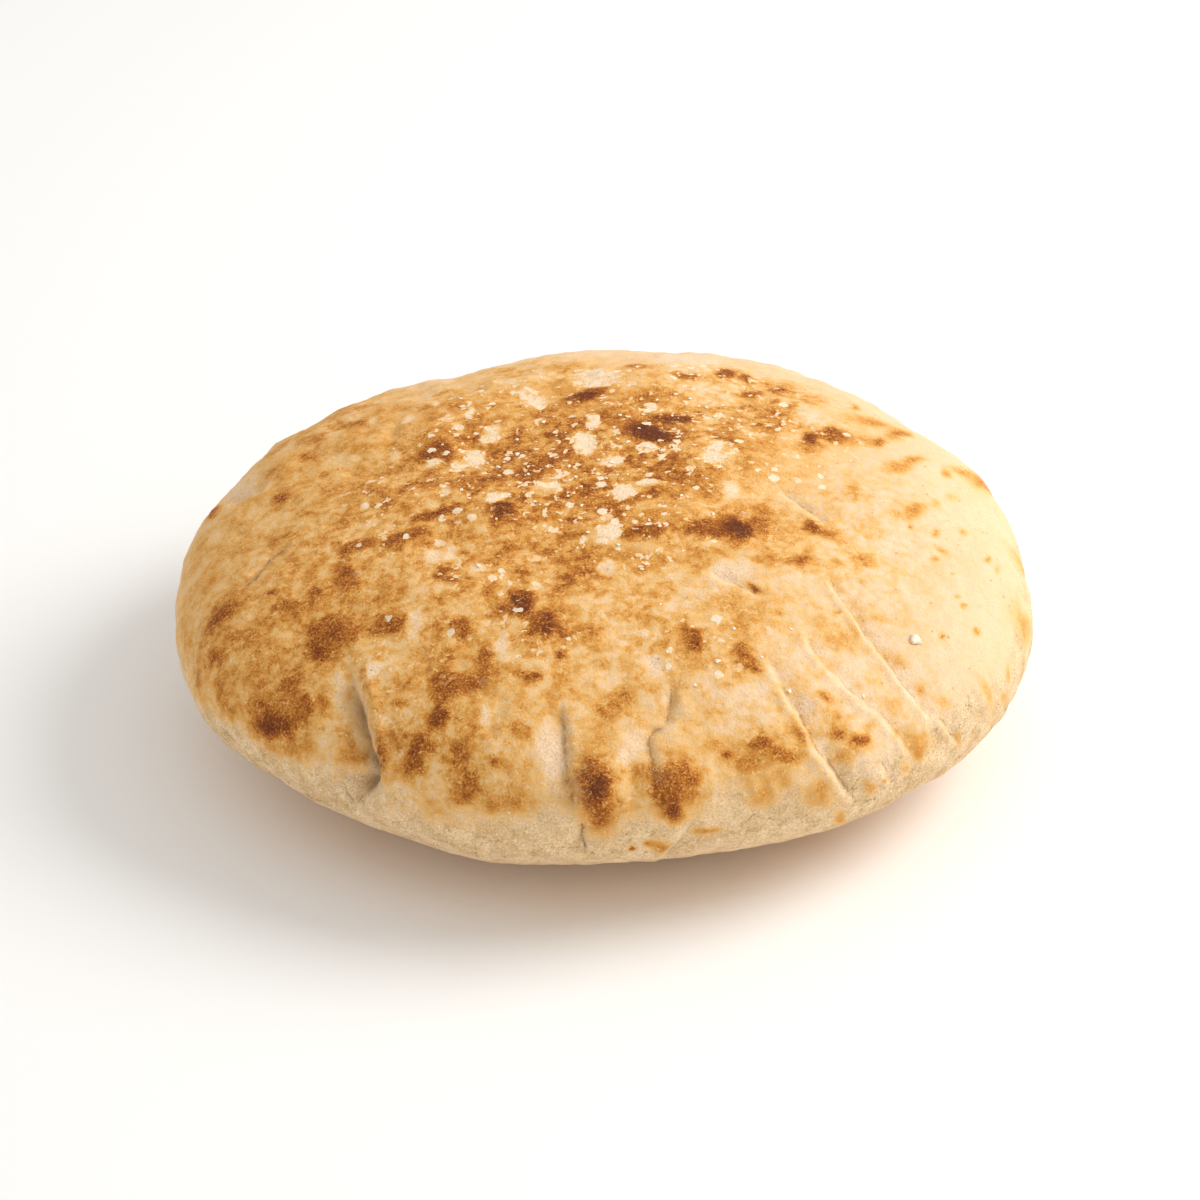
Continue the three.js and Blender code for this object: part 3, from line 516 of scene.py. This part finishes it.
browned = np.zeros(len(base))
for az, lat, r1, r2, angle, level in BROWN:
    e = ellipse(place, az, lat, r1 * 1.05, r2 * 1.05, angle)
    high = float(smooth(38, 58, lat))
    g = np.exp(-(0.85 - 0.2 * high) * e ** (1.1 + 0.9 * high)) if level > 0.8 else np.exp(-0.65 * e**1.25)
    toast = toast + np.maximum(0.98 * level - toast, 0) * g
    browned = np.maximum(browned, g * level)
spots = np.random.default_rng(7)
for _ in range(330):
    az, lat = spots.uniform(-15, 195), 90 - 95 * math.sqrt(spots.uniform(0, 1))
    r1, ratio, angle, level = spots.uniform(1.2, 4.8), spots.uniform(0.45, 1), spots.uniform(0, 180), spots.uniform(0.42, 0.86)
    if float(facing(np.array([az]), np.array([lat]))[0] @ FRONT) > -0.09:
        continue
    g = np.exp(-0.7 * ellipse(place, az, lat, r1, r1 * ratio, angle) ** 1.25)
    toast = toast + np.maximum(level - toast, 0) * g
pale = np.zeros(len(base))
for az, lat, r1, r2, angle, level in PALE:
    g = np.exp(-0.7 * ellipse(place, az, lat, r1, r2, angle) ** 1.25)
    pale = np.maximum(pale, level * g)
flour = np.zeros(len(base))
for az, lat, r1, r2, angle, level in FLOURED:
    flour = np.maximum(flour, level * np.exp(-0.7 * ellipse(place, az, lat, r1, r2, angle) ** 1.25))
flour = np.maximum(flour, 0.35 * back * smooth(0, 0.5, layered(base, 22, 43, 2)))

# the underside lay on the hot floor of the oven: speckled, even browning on the foot
under = 1 - smooth(-34, -24, V_lat)
hearth = np.clip(0.34 + 0.30 * layered(flat, 9, 61, 3) + 0.12 * layered(flat, 34, 62, 2), 0.03, 0.85)
toast = toast * (1 - under) + hearth * under
mottle = np.clip(mottle * (1 - under) + 0.8 * under, 0, 1)

# finer relief: small blisters, crumbly pale patches, and fine wrinkles across the floury band near the rim
top_side = smooth(-10, 12, V_lat)
lift += 0.22 * layered(base, 7.5, 71, 2) + 0.10 * noise(base, 2.4, 72) * (0.4 + top_side)
lift += worn * (0.22 * noise(base, 2.0, 75) + 0.12 * noise(base, 1.3, 76))
lift += 0.26 * noise(base * (1, 0.7, 1), 4.2, 77) * smooth(10, 45, base[:, 1] - 0.25 * base[:, 0]) * top_side
lift += 0.22 * smooth(0.55, 0.9, toast) * top_side + 0.10 * pale * noise(base, 1.6, 73)
th = np.radians(V_az)
band = smooth(-40, -12, V_lat) * (1 - smooth(4, 22, V_lat + 9 * noise(base, 11, 74) + 4 * noise(base, 4, 78)))
rim_coords = np.stack([np.cos(th) * 80 + 0.15 * base[:, 2], np.sin(th) * 80, base[:, 2] * 0.22 + 0.1 * base[:, 0]], -1)
wrinkle = noise(rim_coords, 3.4, 81) + 0.6 * noise(rim_coords, 1.9, 82)
lift += band * (0.24 * wrinkle + 0.5 * (np.abs(noise(rim_coords, 5.0, 83)) - 0.3))

points = base + normal * (lift * smooth(0, 9, base[:, 2]))[:, None]
points[on_foot] = base[on_foot]
points[:, 2] = np.maximum(points[:, 2], 0)
CENTRE = np.array([-1.3279, 0.357, 0.0])
points -= CENTRE

# ---------------------------------------------------------------- the mesh
mesh = bpy.data.meshes.new("pita_crust")
mesh.vertices.add(len(points))
mesh.vertices.foreach_set("co", (points * 0.001).astype(np.float32).ravel())
mesh.loops.add(len(tris) * 3)
mesh.loops.foreach_set("vertex_index", tris.ravel().astype(np.int32))
mesh.polygons.add(len(tris))
mesh.polygons.foreach_set("loop_start", np.arange(0, len(tris) * 3, 3, dtype=np.int32))
mesh.polygons.foreach_set("loop_total", np.full(len(tris), 3, dtype=np.int32))
mesh.update(calc_edges=True)
mesh.validate()
mesh.polygons.foreach_set("use_smooth", np.ones(len(tris), dtype=bool))

# texture layout: the shown top gets one large disc, the underside a small one
uv = mesh.uv_layers.new(name="OFBake")
corner_arc = ring_arc[V_ring[tris]]
corner_th = np.radians(V_az[tris])
split_arc = ring_arc[split_ring]
r_top = 0.405 * corner_arc / split_arc
r_under = 0.165 * (arc[-1] - corner_arc) / (arc[-1] - split_arc)
is_top = tri_top[:, None]
u = np.where(is_top, 0.41 + r_top * np.cos(corner_th), 0.825 + r_under * np.cos(corner_th))
v = np.where(is_top, 0.41 + r_top * np.sin(corner_th), 0.825 - r_under * np.sin(corner_th))
uv.data.foreach_set("uv", np.stack([u, v], -1).astype(np.float32).ravel())


def attribute(name, values):
    a = mesh.attributes.new(name, "FLOAT", "POINT")
    a.data.foreach_set("value", np.asarray(values, np.float32))


attribute("toast", toast)
attribute("mottle", mottle)
attribute("pale", pale)
attribute("fold_shade", fold_shade)
attribute("band", band)
attribute("flour", flour)
attribute("worn", worn)
attribute("fold_gap", np.clip(fold_gap, -5, 5))
attribute("fold_line_shade", fold_line_shade)
attribute("fold_crest_highlight", fold_crest_highlight)

crust = bpy.data.objects.new("pita_crust", mesh)
bpy.context.scene.collection.objects.link(crust)


# ---------------------------------------------------------------- material
def new_material(name):
    m = bpy.data.materials.new(name)
    m.use_nodes = True
    nt = m.node_tree
    nt.nodes.clear()
    return m, nt


class Nodes:
    def __init__(self, nt):
        self.nt = nt

    def make(self, kind, **values):
        n = self.nt.nodes.new(kind)
        for k, val in values.items():
            setattr(n, k, val)
        return n

    def link(self, a, b):
        self.nt.links.new(a, b)

    def value(self, x, socket):
        if isinstance(x, (int, float)):
            socket.default_value = x
        elif isinstance(x, tuple):
            socket.default_value = (*x, 1.0) if len(x) == 3 and len(socket.default_value) == 4 else x
        else:
            self.link(x, socket)

    def math(self, op, a, b=0.0, c=None, clamp=False):
        n = self.make("ShaderNodeMath", operation=op, use_clamp=clamp)
        self.value(a, n.inputs[0])
        self.value(b, n.inputs[1])
        if c is not None:
            self.value(c, n.inputs[2])
        return n.outputs[0]

    def step(self, x, lo, hi, out_lo=0.0, out_hi=1.0):
        n = self.make("ShaderNodeMapRange", interpolation_type="SMOOTHSTEP")
        self.value(x, n.inputs["Value"])
        n.inputs["From Min"].default_value, n.inputs["From Max"].default_value = lo, hi
        n.inputs["To Min"].default_value, n.inputs["To Max"].default_value = out_lo, out_hi
        return n.outputs["Result"]

    def noise(self, coords, size_mm, detail=2.0, rough=0.5, distortion=0.0):
        n = self.make("ShaderNodeTexNoise", noise_dimensions="3D")
        self.link(coords, n.inputs["Vector"])
        n.inputs["Scale"].default_value = 1000.0 / size_mm
        n.inputs["Detail"].default_value = detail
        n.inputs["Roughness"].default_value = rough
        n.inputs["Distortion"].default_value = distortion
        return n.outputs["Fac"]

    def cells(self, coords, size_mm, feature="F1"):
        n = self.make("ShaderNodeTexVoronoi", voronoi_dimensions="3D", feature=feature)
        self.link(coords, n.inputs["Vector"])
        n.inputs["Scale"].default_value = 1000.0 / size_mm
        return n

    def mix(self, fac, a, b, blend="MIX"):
        n = self.make("ShaderNodeMix", data_type="RGBA", blend_type=blend)
        self.value(fac, n.inputs["Factor"])
        self.value(a, n.inputs["A_Color"] if "A_Color" in n.inputs else n.inputs[6])
        self.value(b, n.inputs["B_Color"] if "B_Color" in n.inputs else n.inputs[7])
        return n.outputs[2]

    def shifted(self, coords, size_mm, by_mm):
        """The same coordinates, pushed about a little, so that shapes laid on them get uneven edges."""
        n = self.make("ShaderNodeTexNoise", noise_dimensions="3D")
        self.link(coords, n.inputs["Vector"])
        n.inputs["Scale"].default_value = 1000.0 / size_mm
        n.inputs["Detail"].default_value = 2.0
        half = self.make("ShaderNodeVectorMath", operation="SUBTRACT")
        self.link(n.outputs["Color"], half.inputs[0])
        half.inputs[1].default_value = (0.5, 0.5, 0.5)
        size = self.make("ShaderNodeVectorMath", operation="SCALE")
        self.link(half.outputs[0], size.inputs[0])
        size.inputs["Scale"].default_value = by_mm * 0.002
        total = self.make("ShaderNodeVectorMath", operation="ADD")
        self.link(coords, total.inputs[0])
        self.link(size.outputs[0], total.inputs[1])
        return total.outputs[0]

    def split(self, colour):
        n = self.make("ShaderNodeSeparateColor")
        self.link(colour, n.inputs[0])
        return n.outputs[0], n.outputs[1]

    def attribute(self, name):
        n = self.make("ShaderNodeAttribute", attribute_type="GEOMETRY", attribute_name=name)
        return n.outputs["Fac"]

    def ramp(self, x, stops):
        n = self.make("ShaderNodeValToRGB")
        r = n.color_ramp
        r.interpolation = "LINEAR"
        while len(r.elements) < len(stops):
            r.elements.new(0.5)
        for e, (pos, col) in zip(r.elements, stops):
            e.position = pos
            e.color = (*col, 1.0)
        self.link(x, n.inputs["Fac"])
        return n.outputs["Color"]


baked, nt = new_material("baked_crust")
N = Nodes(nt)
out = N.make("ShaderNodeOutputMaterial")
bsdf = N.make("ShaderNodeBsdfPrincipled")
N.link(bsdf.outputs["BSDF"], out.inputs["Surface"])
where = N.make("ShaderNodeTexCoord").outputs["Object"]
A_toast, A_mottle, A_pale, A_fold_shade, A_band, A_flour, A_worn, A_gap, A_line_shade, A_crest_highlight = (
    N.attribute(k) for k in ("toast", "mottle", "pale", "fold_shade", "band", "flour", "worn", "fold_gap", "fold_line_shade", "fold_crest_highlight")
)


def centred(x, lo, hi):
    return N.math("SUBTRACT", N.step(x, lo, hi), 0.5)


def product(*xs):
    total = xs[0]
    for x in xs[1:]:
        total = N.math("MULTIPLY", total, x)
    return total


def added(*xs):
    total = xs[0]
    for x in xs[1:]:
        total = N.math("ADD", total, x)
    return total


blotch = N.noise(where, 5.2, 2.0, 0.5, 0.0)
fleck = N.noise(where, 1.7, 1.8, 0.5, 0.0)
grain = N.noise(where, 0.40, 1.0, 0.5)
islands = N.noise(where, 2.2, 4.0, 0.62, 0.2)
wob = added(product(centred(blotch, 0.34, 0.66), 0.22), product(centred(fleck, 0.36, 0.64), 0.18))
browned_zone = N.step(A_toast, 0.62, 0.8, 1.0, 0.45)
level = added(A_toast, product(wob, A_mottle, browned_zone, added(1.0, product(A_flour, 0.6))), product(N.math("SUBTRACT", grain, 0.5), 0.62))
# painted highlights: thin curved light threads over the browned crust, where its skin crazed
highlight_thread = N.math("ABSOLUTE", N.math("SUBTRACT", N.noise(where, 1.9, 1.0, 0.5, 0.4), 0.5))
highlight_thread = product(N.step(highlight_thread, 0.028, 0.006), N.step(N.noise(where, 1.3, 1.0, 0.5), 0.49, 0.58))
level = N.math("SUBTRACT", level, product(highlight_thread, N.step(A_toast, 0.15, 0.6, 0.05, 0.23)))
# pale islands where the crust stayed white: soft inside, crisp where they are strongest
crisp = N.step(added(A_pale, product(N.math("SUBTRACT", islands, 0.5), 3.2)), 0.42, 0.60)
crisp = product(crisp, N.step(A_pale, 0.08, 0.3), N.step(A_flour, 0.12, 0.40))
strewn = N.math("MAXIMUM", N.noise(where, 2.0, 2.0, 0.5, 0.2), N.noise(where, 3.6, 3.0, 0.6, 0.3))
strewn = N.step(added(strewn, product(A_flour, 0.055)), 0.66, 0.70)
strewn = product(strewn, N.step(A_flour, 0.02, 0.35), N.step(A_toast, 0.72, 0.95, 0.85, 0.2))
crisp = N.math("MAXIMUM", crisp, strewn)
soft_pale = N.step(added(A_pale, product(N.math("SUBTRACT", islands, 0.5), 0.7)), 0.12, 0.78)
whiter = N.math("MAXIMUM", product(soft_pale, 0.95), crisp)
level = product(level, N.math("SUBTRACT", 1.0, whiter))
# painted glints: small light specks in the browned crust, standing in for highlights on its fine grain
glint = N.step(N.noise(where, 0.42, 0.5, 0.5), 0.58, 0.72)
level = N.math("SUBTRACT", level, product(glint, N.step(A_toast, 0.3, 0.85, 0.05, 0.20)))
level = N.math("MAXIMUM", level, 0.0, clamp=True)
colour = N.ramp(level, CRUST_COLOURS)

# loose flour baked on in small flakes
bits = N.cells(N.shifted(where, 1.1, 0.7), 3.0)
chosen, wide = N.split(bits.outputs["Color"])
flake = N.step(added(chosen, product(A_flour, 0.30)), 0.86, 0.88)
edge = N.math("SUBTRACT", bits.outputs["Distance"], product(wide, 0.24))
flake = product(flake, N.step(edge, 0.13, 0.08), N.step(A_flour, 0.04, 0.2))
colour = N.mix(product(flake, 0.9), colour, (0.90, 0.76, 0.56))
colour = N.mix(product(crisp, 0.45), colour, (0.90, 0.74, 0.53))
# small dark pores and hair cracks in the pale crust, more of them in the folds
pores = N.cells(where, 2.1)
pore_m = product(N.step(pores.outputs["Distance"], 0.18, 0.08), N.step(fleck, 0.48, 0.60))
pore_m = product(pore_m, N.step(level, 0.55, 0.2, 0.0, 0.65))
colour = N.mix(pore_m, colour, (0.42, 0.25, 0.09))
crumb = N.noise(where, 0.85, 3.0, 0.65, 0.6)
crumb_m = product(N.step(crumb, 0.46, 0.36), added(product(A_worn, 0.38), 0.10))
colour = N.mix(crumb_m, colour, (0.56, 0.36, 0.15))
colour = N.mix(product(N.step(crumb, 0.56, 0.64), A_worn, 0.55), colour, (0.90, 0.70, 0.47))
# floury band near the rim: pinker, and greyer and darker as painted shade where the crust turns under, but not over the
# browned spots
dusty = N.noise(where, 2.2, 3.0, 0.6)
bare = product(A_band, N.step(A_toast, 0.42, 0.08))
band_m = product(bare, N.step(dusty, 0.32, 0.62, 0.35, 0.95))
band_shaded_colour = N.mix(N.step(N.noise(where, 4.5, 3.0, 0.6, 0.2), 0.40, 0.62), (0.645, 0.432, 0.203), (0.82, 0.605, 0.348))
colour = N.mix(band_m, colour, band_shaded_colour)
pits = N.noise(where, 0.75, 2.0, 0.6, 0.3)
colour = N.mix(product(N.step(pits, 0.42, 0.32), bare, 0.36), colour, (0.52, 0.34, 0.165))
colour = N.mix(product(N.step(pits, 0.58, 0.68), bare, 0.40), colour, (0.88, 0.70, 0.49))
craze = N.cells(N.shifted(where, 2.2, 1.6), 6.0, "DISTANCE_TO_EDGE")
craze = product(N.step(craze.outputs["Distance"], 0.028, 0.008), N.step(N.math("ADD", dusty, 0.0), 0.50, 0.58), added(product(bare, 0.5), 0.06), N.step(A_toast, 0.5, 0.25))
colour = N.mix(craze, colour, (0.30, 0.18, 0.08))
salt = added(1.0, product(N.math("SUBTRACT", grain, 0.5), added(0.66, product(A_band, 0.40))))
shade = N.make("ShaderNodeVectorMath", operation="SCALE")
N.link(colour, shade.inputs[0])
N.link(salt, shade.inputs["Scale"])
colour = shade.outputs[0]
# painted shade darkening the fold valleys and their crack lines
colour = N.mix(N.math("MULTIPLY", A_fold_shade, 0.42, clamp=True), colour, (0.30, 0.18, 0.085))
# the folds: a painted highlight in pale cream along the crest on one side of the line, and a thin line of painted shade
# along it
ragged = added(A_gap, product(N.math("SUBTRACT", N.noise(where, 1.7, 3.0, 0.62), 0.5), 1.9))
crest_highlight = product(N.step(ragged, 0.2, 0.7), N.step(ragged, 2.0, 0.9), A_crest_highlight)
colour = N.mix(product(crest_highlight, 0.60), colour, (0.92, 0.74, 0.49))
# painted shade: a thin dark line along each fold, broken in places
shade_hairline = product(N.step(N.math("ABSOLUTE", ragged), 0.34, 0.04), A_line_shade, N.step(N.noise(where, 2.3, 2.0, 0.6), 0.42, 0.58, 0.12, 1.0))
colour = N.mix(N.math("MULTIPLY", shade_hairline, 0.9, clamp=True), colour, (0.30, 0.165, 0.065))
N.link(colour, bsdf.inputs["Base Color"])
bsdf.inputs["Roughness"].default_value = 0.75
bsdf.inputs["Specular IOR Level"].default_value = 0.14

b1 = N.make("ShaderNodeBump")
b1.inputs["Strength"].default_value = 0.6
b1.inputs["Distance"].default_value = 0.00035
rough_up = added(N.noise(where, 1.1, 3.0, 0.64, 0.1), product(crumb, added(product(A_worn, 1.2), product(A_band, 0.9))), product(crest_highlight, 0.5), product(shade_hairline, -1.2))
N.link(rough_up, b1.inputs["Height"])
b2 = N.make("ShaderNodeBump")
b2.inputs["Strength"].default_value = 0.55
b2.inputs["Distance"].default_value = 0.00014
N.link(grain, b2.inputs["Height"])
N.link(b1.outputs["Normal"], b2.inputs["Normal"])
N.link(b2.outputs["Normal"], bsdf.inputs["Normal"])
mesh.materials.append(baked)

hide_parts("pita_bread")
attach(crust, "root")

# ---------------------------------------------------------------- loose bits of flour and dried dough, each a small closed lump
golden = (1 + math.sqrt(5)) / 2
ico = np.array([(-1, golden, 0), (1, golden, 0), (-1, -golden, 0), (1, -golden, 0), (0, -1, golden), (0, 1, golden),
                (0, -1, -golden), (0, 1, -golden), (golden, 0, -1), (golden, 0, 1), (-golden, 0, -1), (-golden, 0, 1)]) / math.hypot(1, golden)
ico_tris = [(0, 11, 5), (0, 5, 1), (0, 1, 7), (0, 7, 10), (0, 10, 11), (1, 5, 9), (5, 11, 4), (11, 10, 2), (10, 7, 6), (7, 1, 8),
            (3, 9, 4), (3, 4, 2), (3, 2, 6), (3, 6, 8), (3, 8, 9), (4, 9, 5), (2, 4, 11), (6, 2, 10), (8, 6, 7), (9, 8, 1)]
middles, finer = {}, []
ball = [tuple(v) for v in ico]


def middle(a, b):
    key = (min(a, b), max(a, b))
    if key not in middles:
        m = (np.array(ball[a]) + np.array(ball[b])) / 2
        ball.append(tuple(m / np.linalg.norm(m)))
        middles[key] = len(ball) - 1
    return middles[key]


for a, b, c in ico_tris:
    ab, bc, ca = middle(a, b), middle(b, c), middle(c, a)
    finer += [(a, ab, ca), (b, bc, ab), (c, ca, bc), (ab, bc, ca)]
ball, finer = np.array(ball), np.array(finer)
dice = np.random.default_rng(33)
bits = [(az, lat, size) for az, lat, size in BITS]
chance = np.clip(flour, 0, 1) ** 1.3 * (V_lat > -5)
picked = dice.choice(len(base), size=45, p=chance / chance.sum())
bits += [(float(V_az[i]), float(V_lat[i]), float(s)) for i, s in zip(picked, 0.35 + 0.5 * dice.random(45) ** 1.5)]
bit_points, bit_tris = [], []
for az, lat, size in bits:
    here = cushion(np.array([az]), np.array([lat]))[0]
    k = int(np.argmin(((base - here) ** 2).sum(1)))
    up = normal[k]
    e1 = np.cross(up, (0.3, 0.9, 0.1))
    e1 /= np.linalg.norm(e1)
    e2 = np.cross(up, e1)
    turn = dice.uniform(0, 2 * math.pi)
    d1, d2 = e1 * math.cos(turn) + e2 * math.sin(turn), -e1 * math.sin(turn) + e2 * math.cos(turn)
    r = 0.5 * size * (1 + 0.27 * dice.normal(size=len(ball)).clip(-1.6, 1.6))
    wide, thick = dice.uniform(0.55, 0.95), dice.uniform(0.18, 0.3) if size < 2 else 0.42
    shape = ball * r[:, None] * (1.0, wide, thick)
    at = points[k] + up * (0.07 * size)
    bit_tris.append(finer + len(ball) * len(bit_points))
    bit_points.append(at + shape[:, :1] * d1 + shape[:, 1:2] * d2 + shape[:, 2:] * up)
bit_points, bit_tris = np.concatenate(bit_points), np.concatenate(bit_tris)
bit_mesh = bpy.data.meshes.new("flour_bits")
bit_mesh.from_pydata((bit_points * 0.001).tolist(), [], bit_tris.tolist())
bit_mesh.polygons.foreach_set("use_smooth", np.ones(len(bit_tris), dtype=bool))
bits_ob = bpy.data.objects.new("flour_bits", bit_mesh)
bpy.context.scene.collection.objects.link(bits_ob)
dough, nt = new_material("dried_dough")
D = Nodes(nt)
d_out = D.make("ShaderNodeOutputMaterial")
d_bsdf = D.make("ShaderNodeBsdfPrincipled")
D.link(d_bsdf.outputs["BSDF"], d_out.inputs["Surface"])
d_where = D.make("ShaderNodeTexCoord").outputs["Object"]
D.link(D.mix(D.step(D.noise(d_where, 0.5, 2.0), 0.4, 0.65), (0.95, 0.87, 0.72), (0.88, 0.72, 0.50)), d_bsdf.inputs["Base Color"])
d_bsdf.inputs["Roughness"].default_value = 0.8
d_bsdf.inputs["Specular IOR Level"].default_value = 0.2
bit_mesh.materials.append(dough)
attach(bits_ob, "root")

# ---------------------------------------------------------------- floor, light and camera
floor_mesh = bpy.data.meshes.new("floor")
floor_mesh.from_pydata([(-3, -3, 0), (3, -3, 0), (3, 3, 0), (-3, 3, 0)], [], [(0, 1, 2, 3)])
floor = bpy.data.objects.new("floor", floor_mesh)
floor.location.z = -0.0002
bpy.context.scene.collection.objects.link(floor)
plain, nt = new_material("plain_floor")
F = Nodes(nt)
f_out = F.make("ShaderNodeOutputMaterial")
f_bsdf = F.make("ShaderNodeBsdfPrincipled")
f_bsdf.inputs["Base Color"].default_value = (0.93, 0.93, 0.93, 1)
f_bsdf.inputs["Roughness"].default_value = 0.9
F.link(f_bsdf.outputs["BSDF"], f_out.inputs["Surface"])
floor_mesh.materials.append(plain)
floor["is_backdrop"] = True

world = bpy.data.worlds.new("studio")
world.use_nodes = True
bg = world.node_tree.nodes.get("Background") or world.node_tree.nodes.new("ShaderNodeBackground")
bg.inputs["Color"].default_value = (1.0, 0.985, 0.955, 1)
bg.inputs["Strength"].default_value = WORLD
bpy.context.scene.world = world


def area_light(name, at, size, power, colour):
    data = bpy.data.lights.new(name, "AREA")
    data.shape, data.size, data.energy, data.color = "DISK", size, power, colour
    lamp = bpy.data.objects.new(name, data)
    lamp.location = at
    lamp.rotation_euler = (Vector((0, 0, 0.03)) - Vector(at)).to_track_quat("-Z", "Y").to_euler()
    bpy.context.scene.collection.objects.link(lamp)


for args in LIGHTS:
    area_light(*args)

VIEW_DOWN, DISTANCE, FOCUS_PX = math.radians(32.0), 0.640, 3266.8
target = Vector((-0.00179, 0.0, 0.02411)) - Vector(CENTRE * 0.001)
cam_data = bpy.data.cameras.new("camera")
cam_data.sensor_width = 36.0
cam_data.lens = FOCUS_PX / 1200.0 * 36.0
cam = bpy.data.objects.new("camera", cam_data)
cam.location = target + DISTANCE * Vector((0, -math.cos(VIEW_DOWN), math.sin(VIEW_DOWN)))
cam.rotation_euler = (math.pi / 2 - VIEW_DOWN, 0, 0)
bpy.context.scene.collection.objects.link(cam)
bpy.context.scene.camera = cam
bpy.context.scene.view_settings.view_transform = "Standard"
bpy.context.scene.view_settings.look = "None"

low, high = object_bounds()
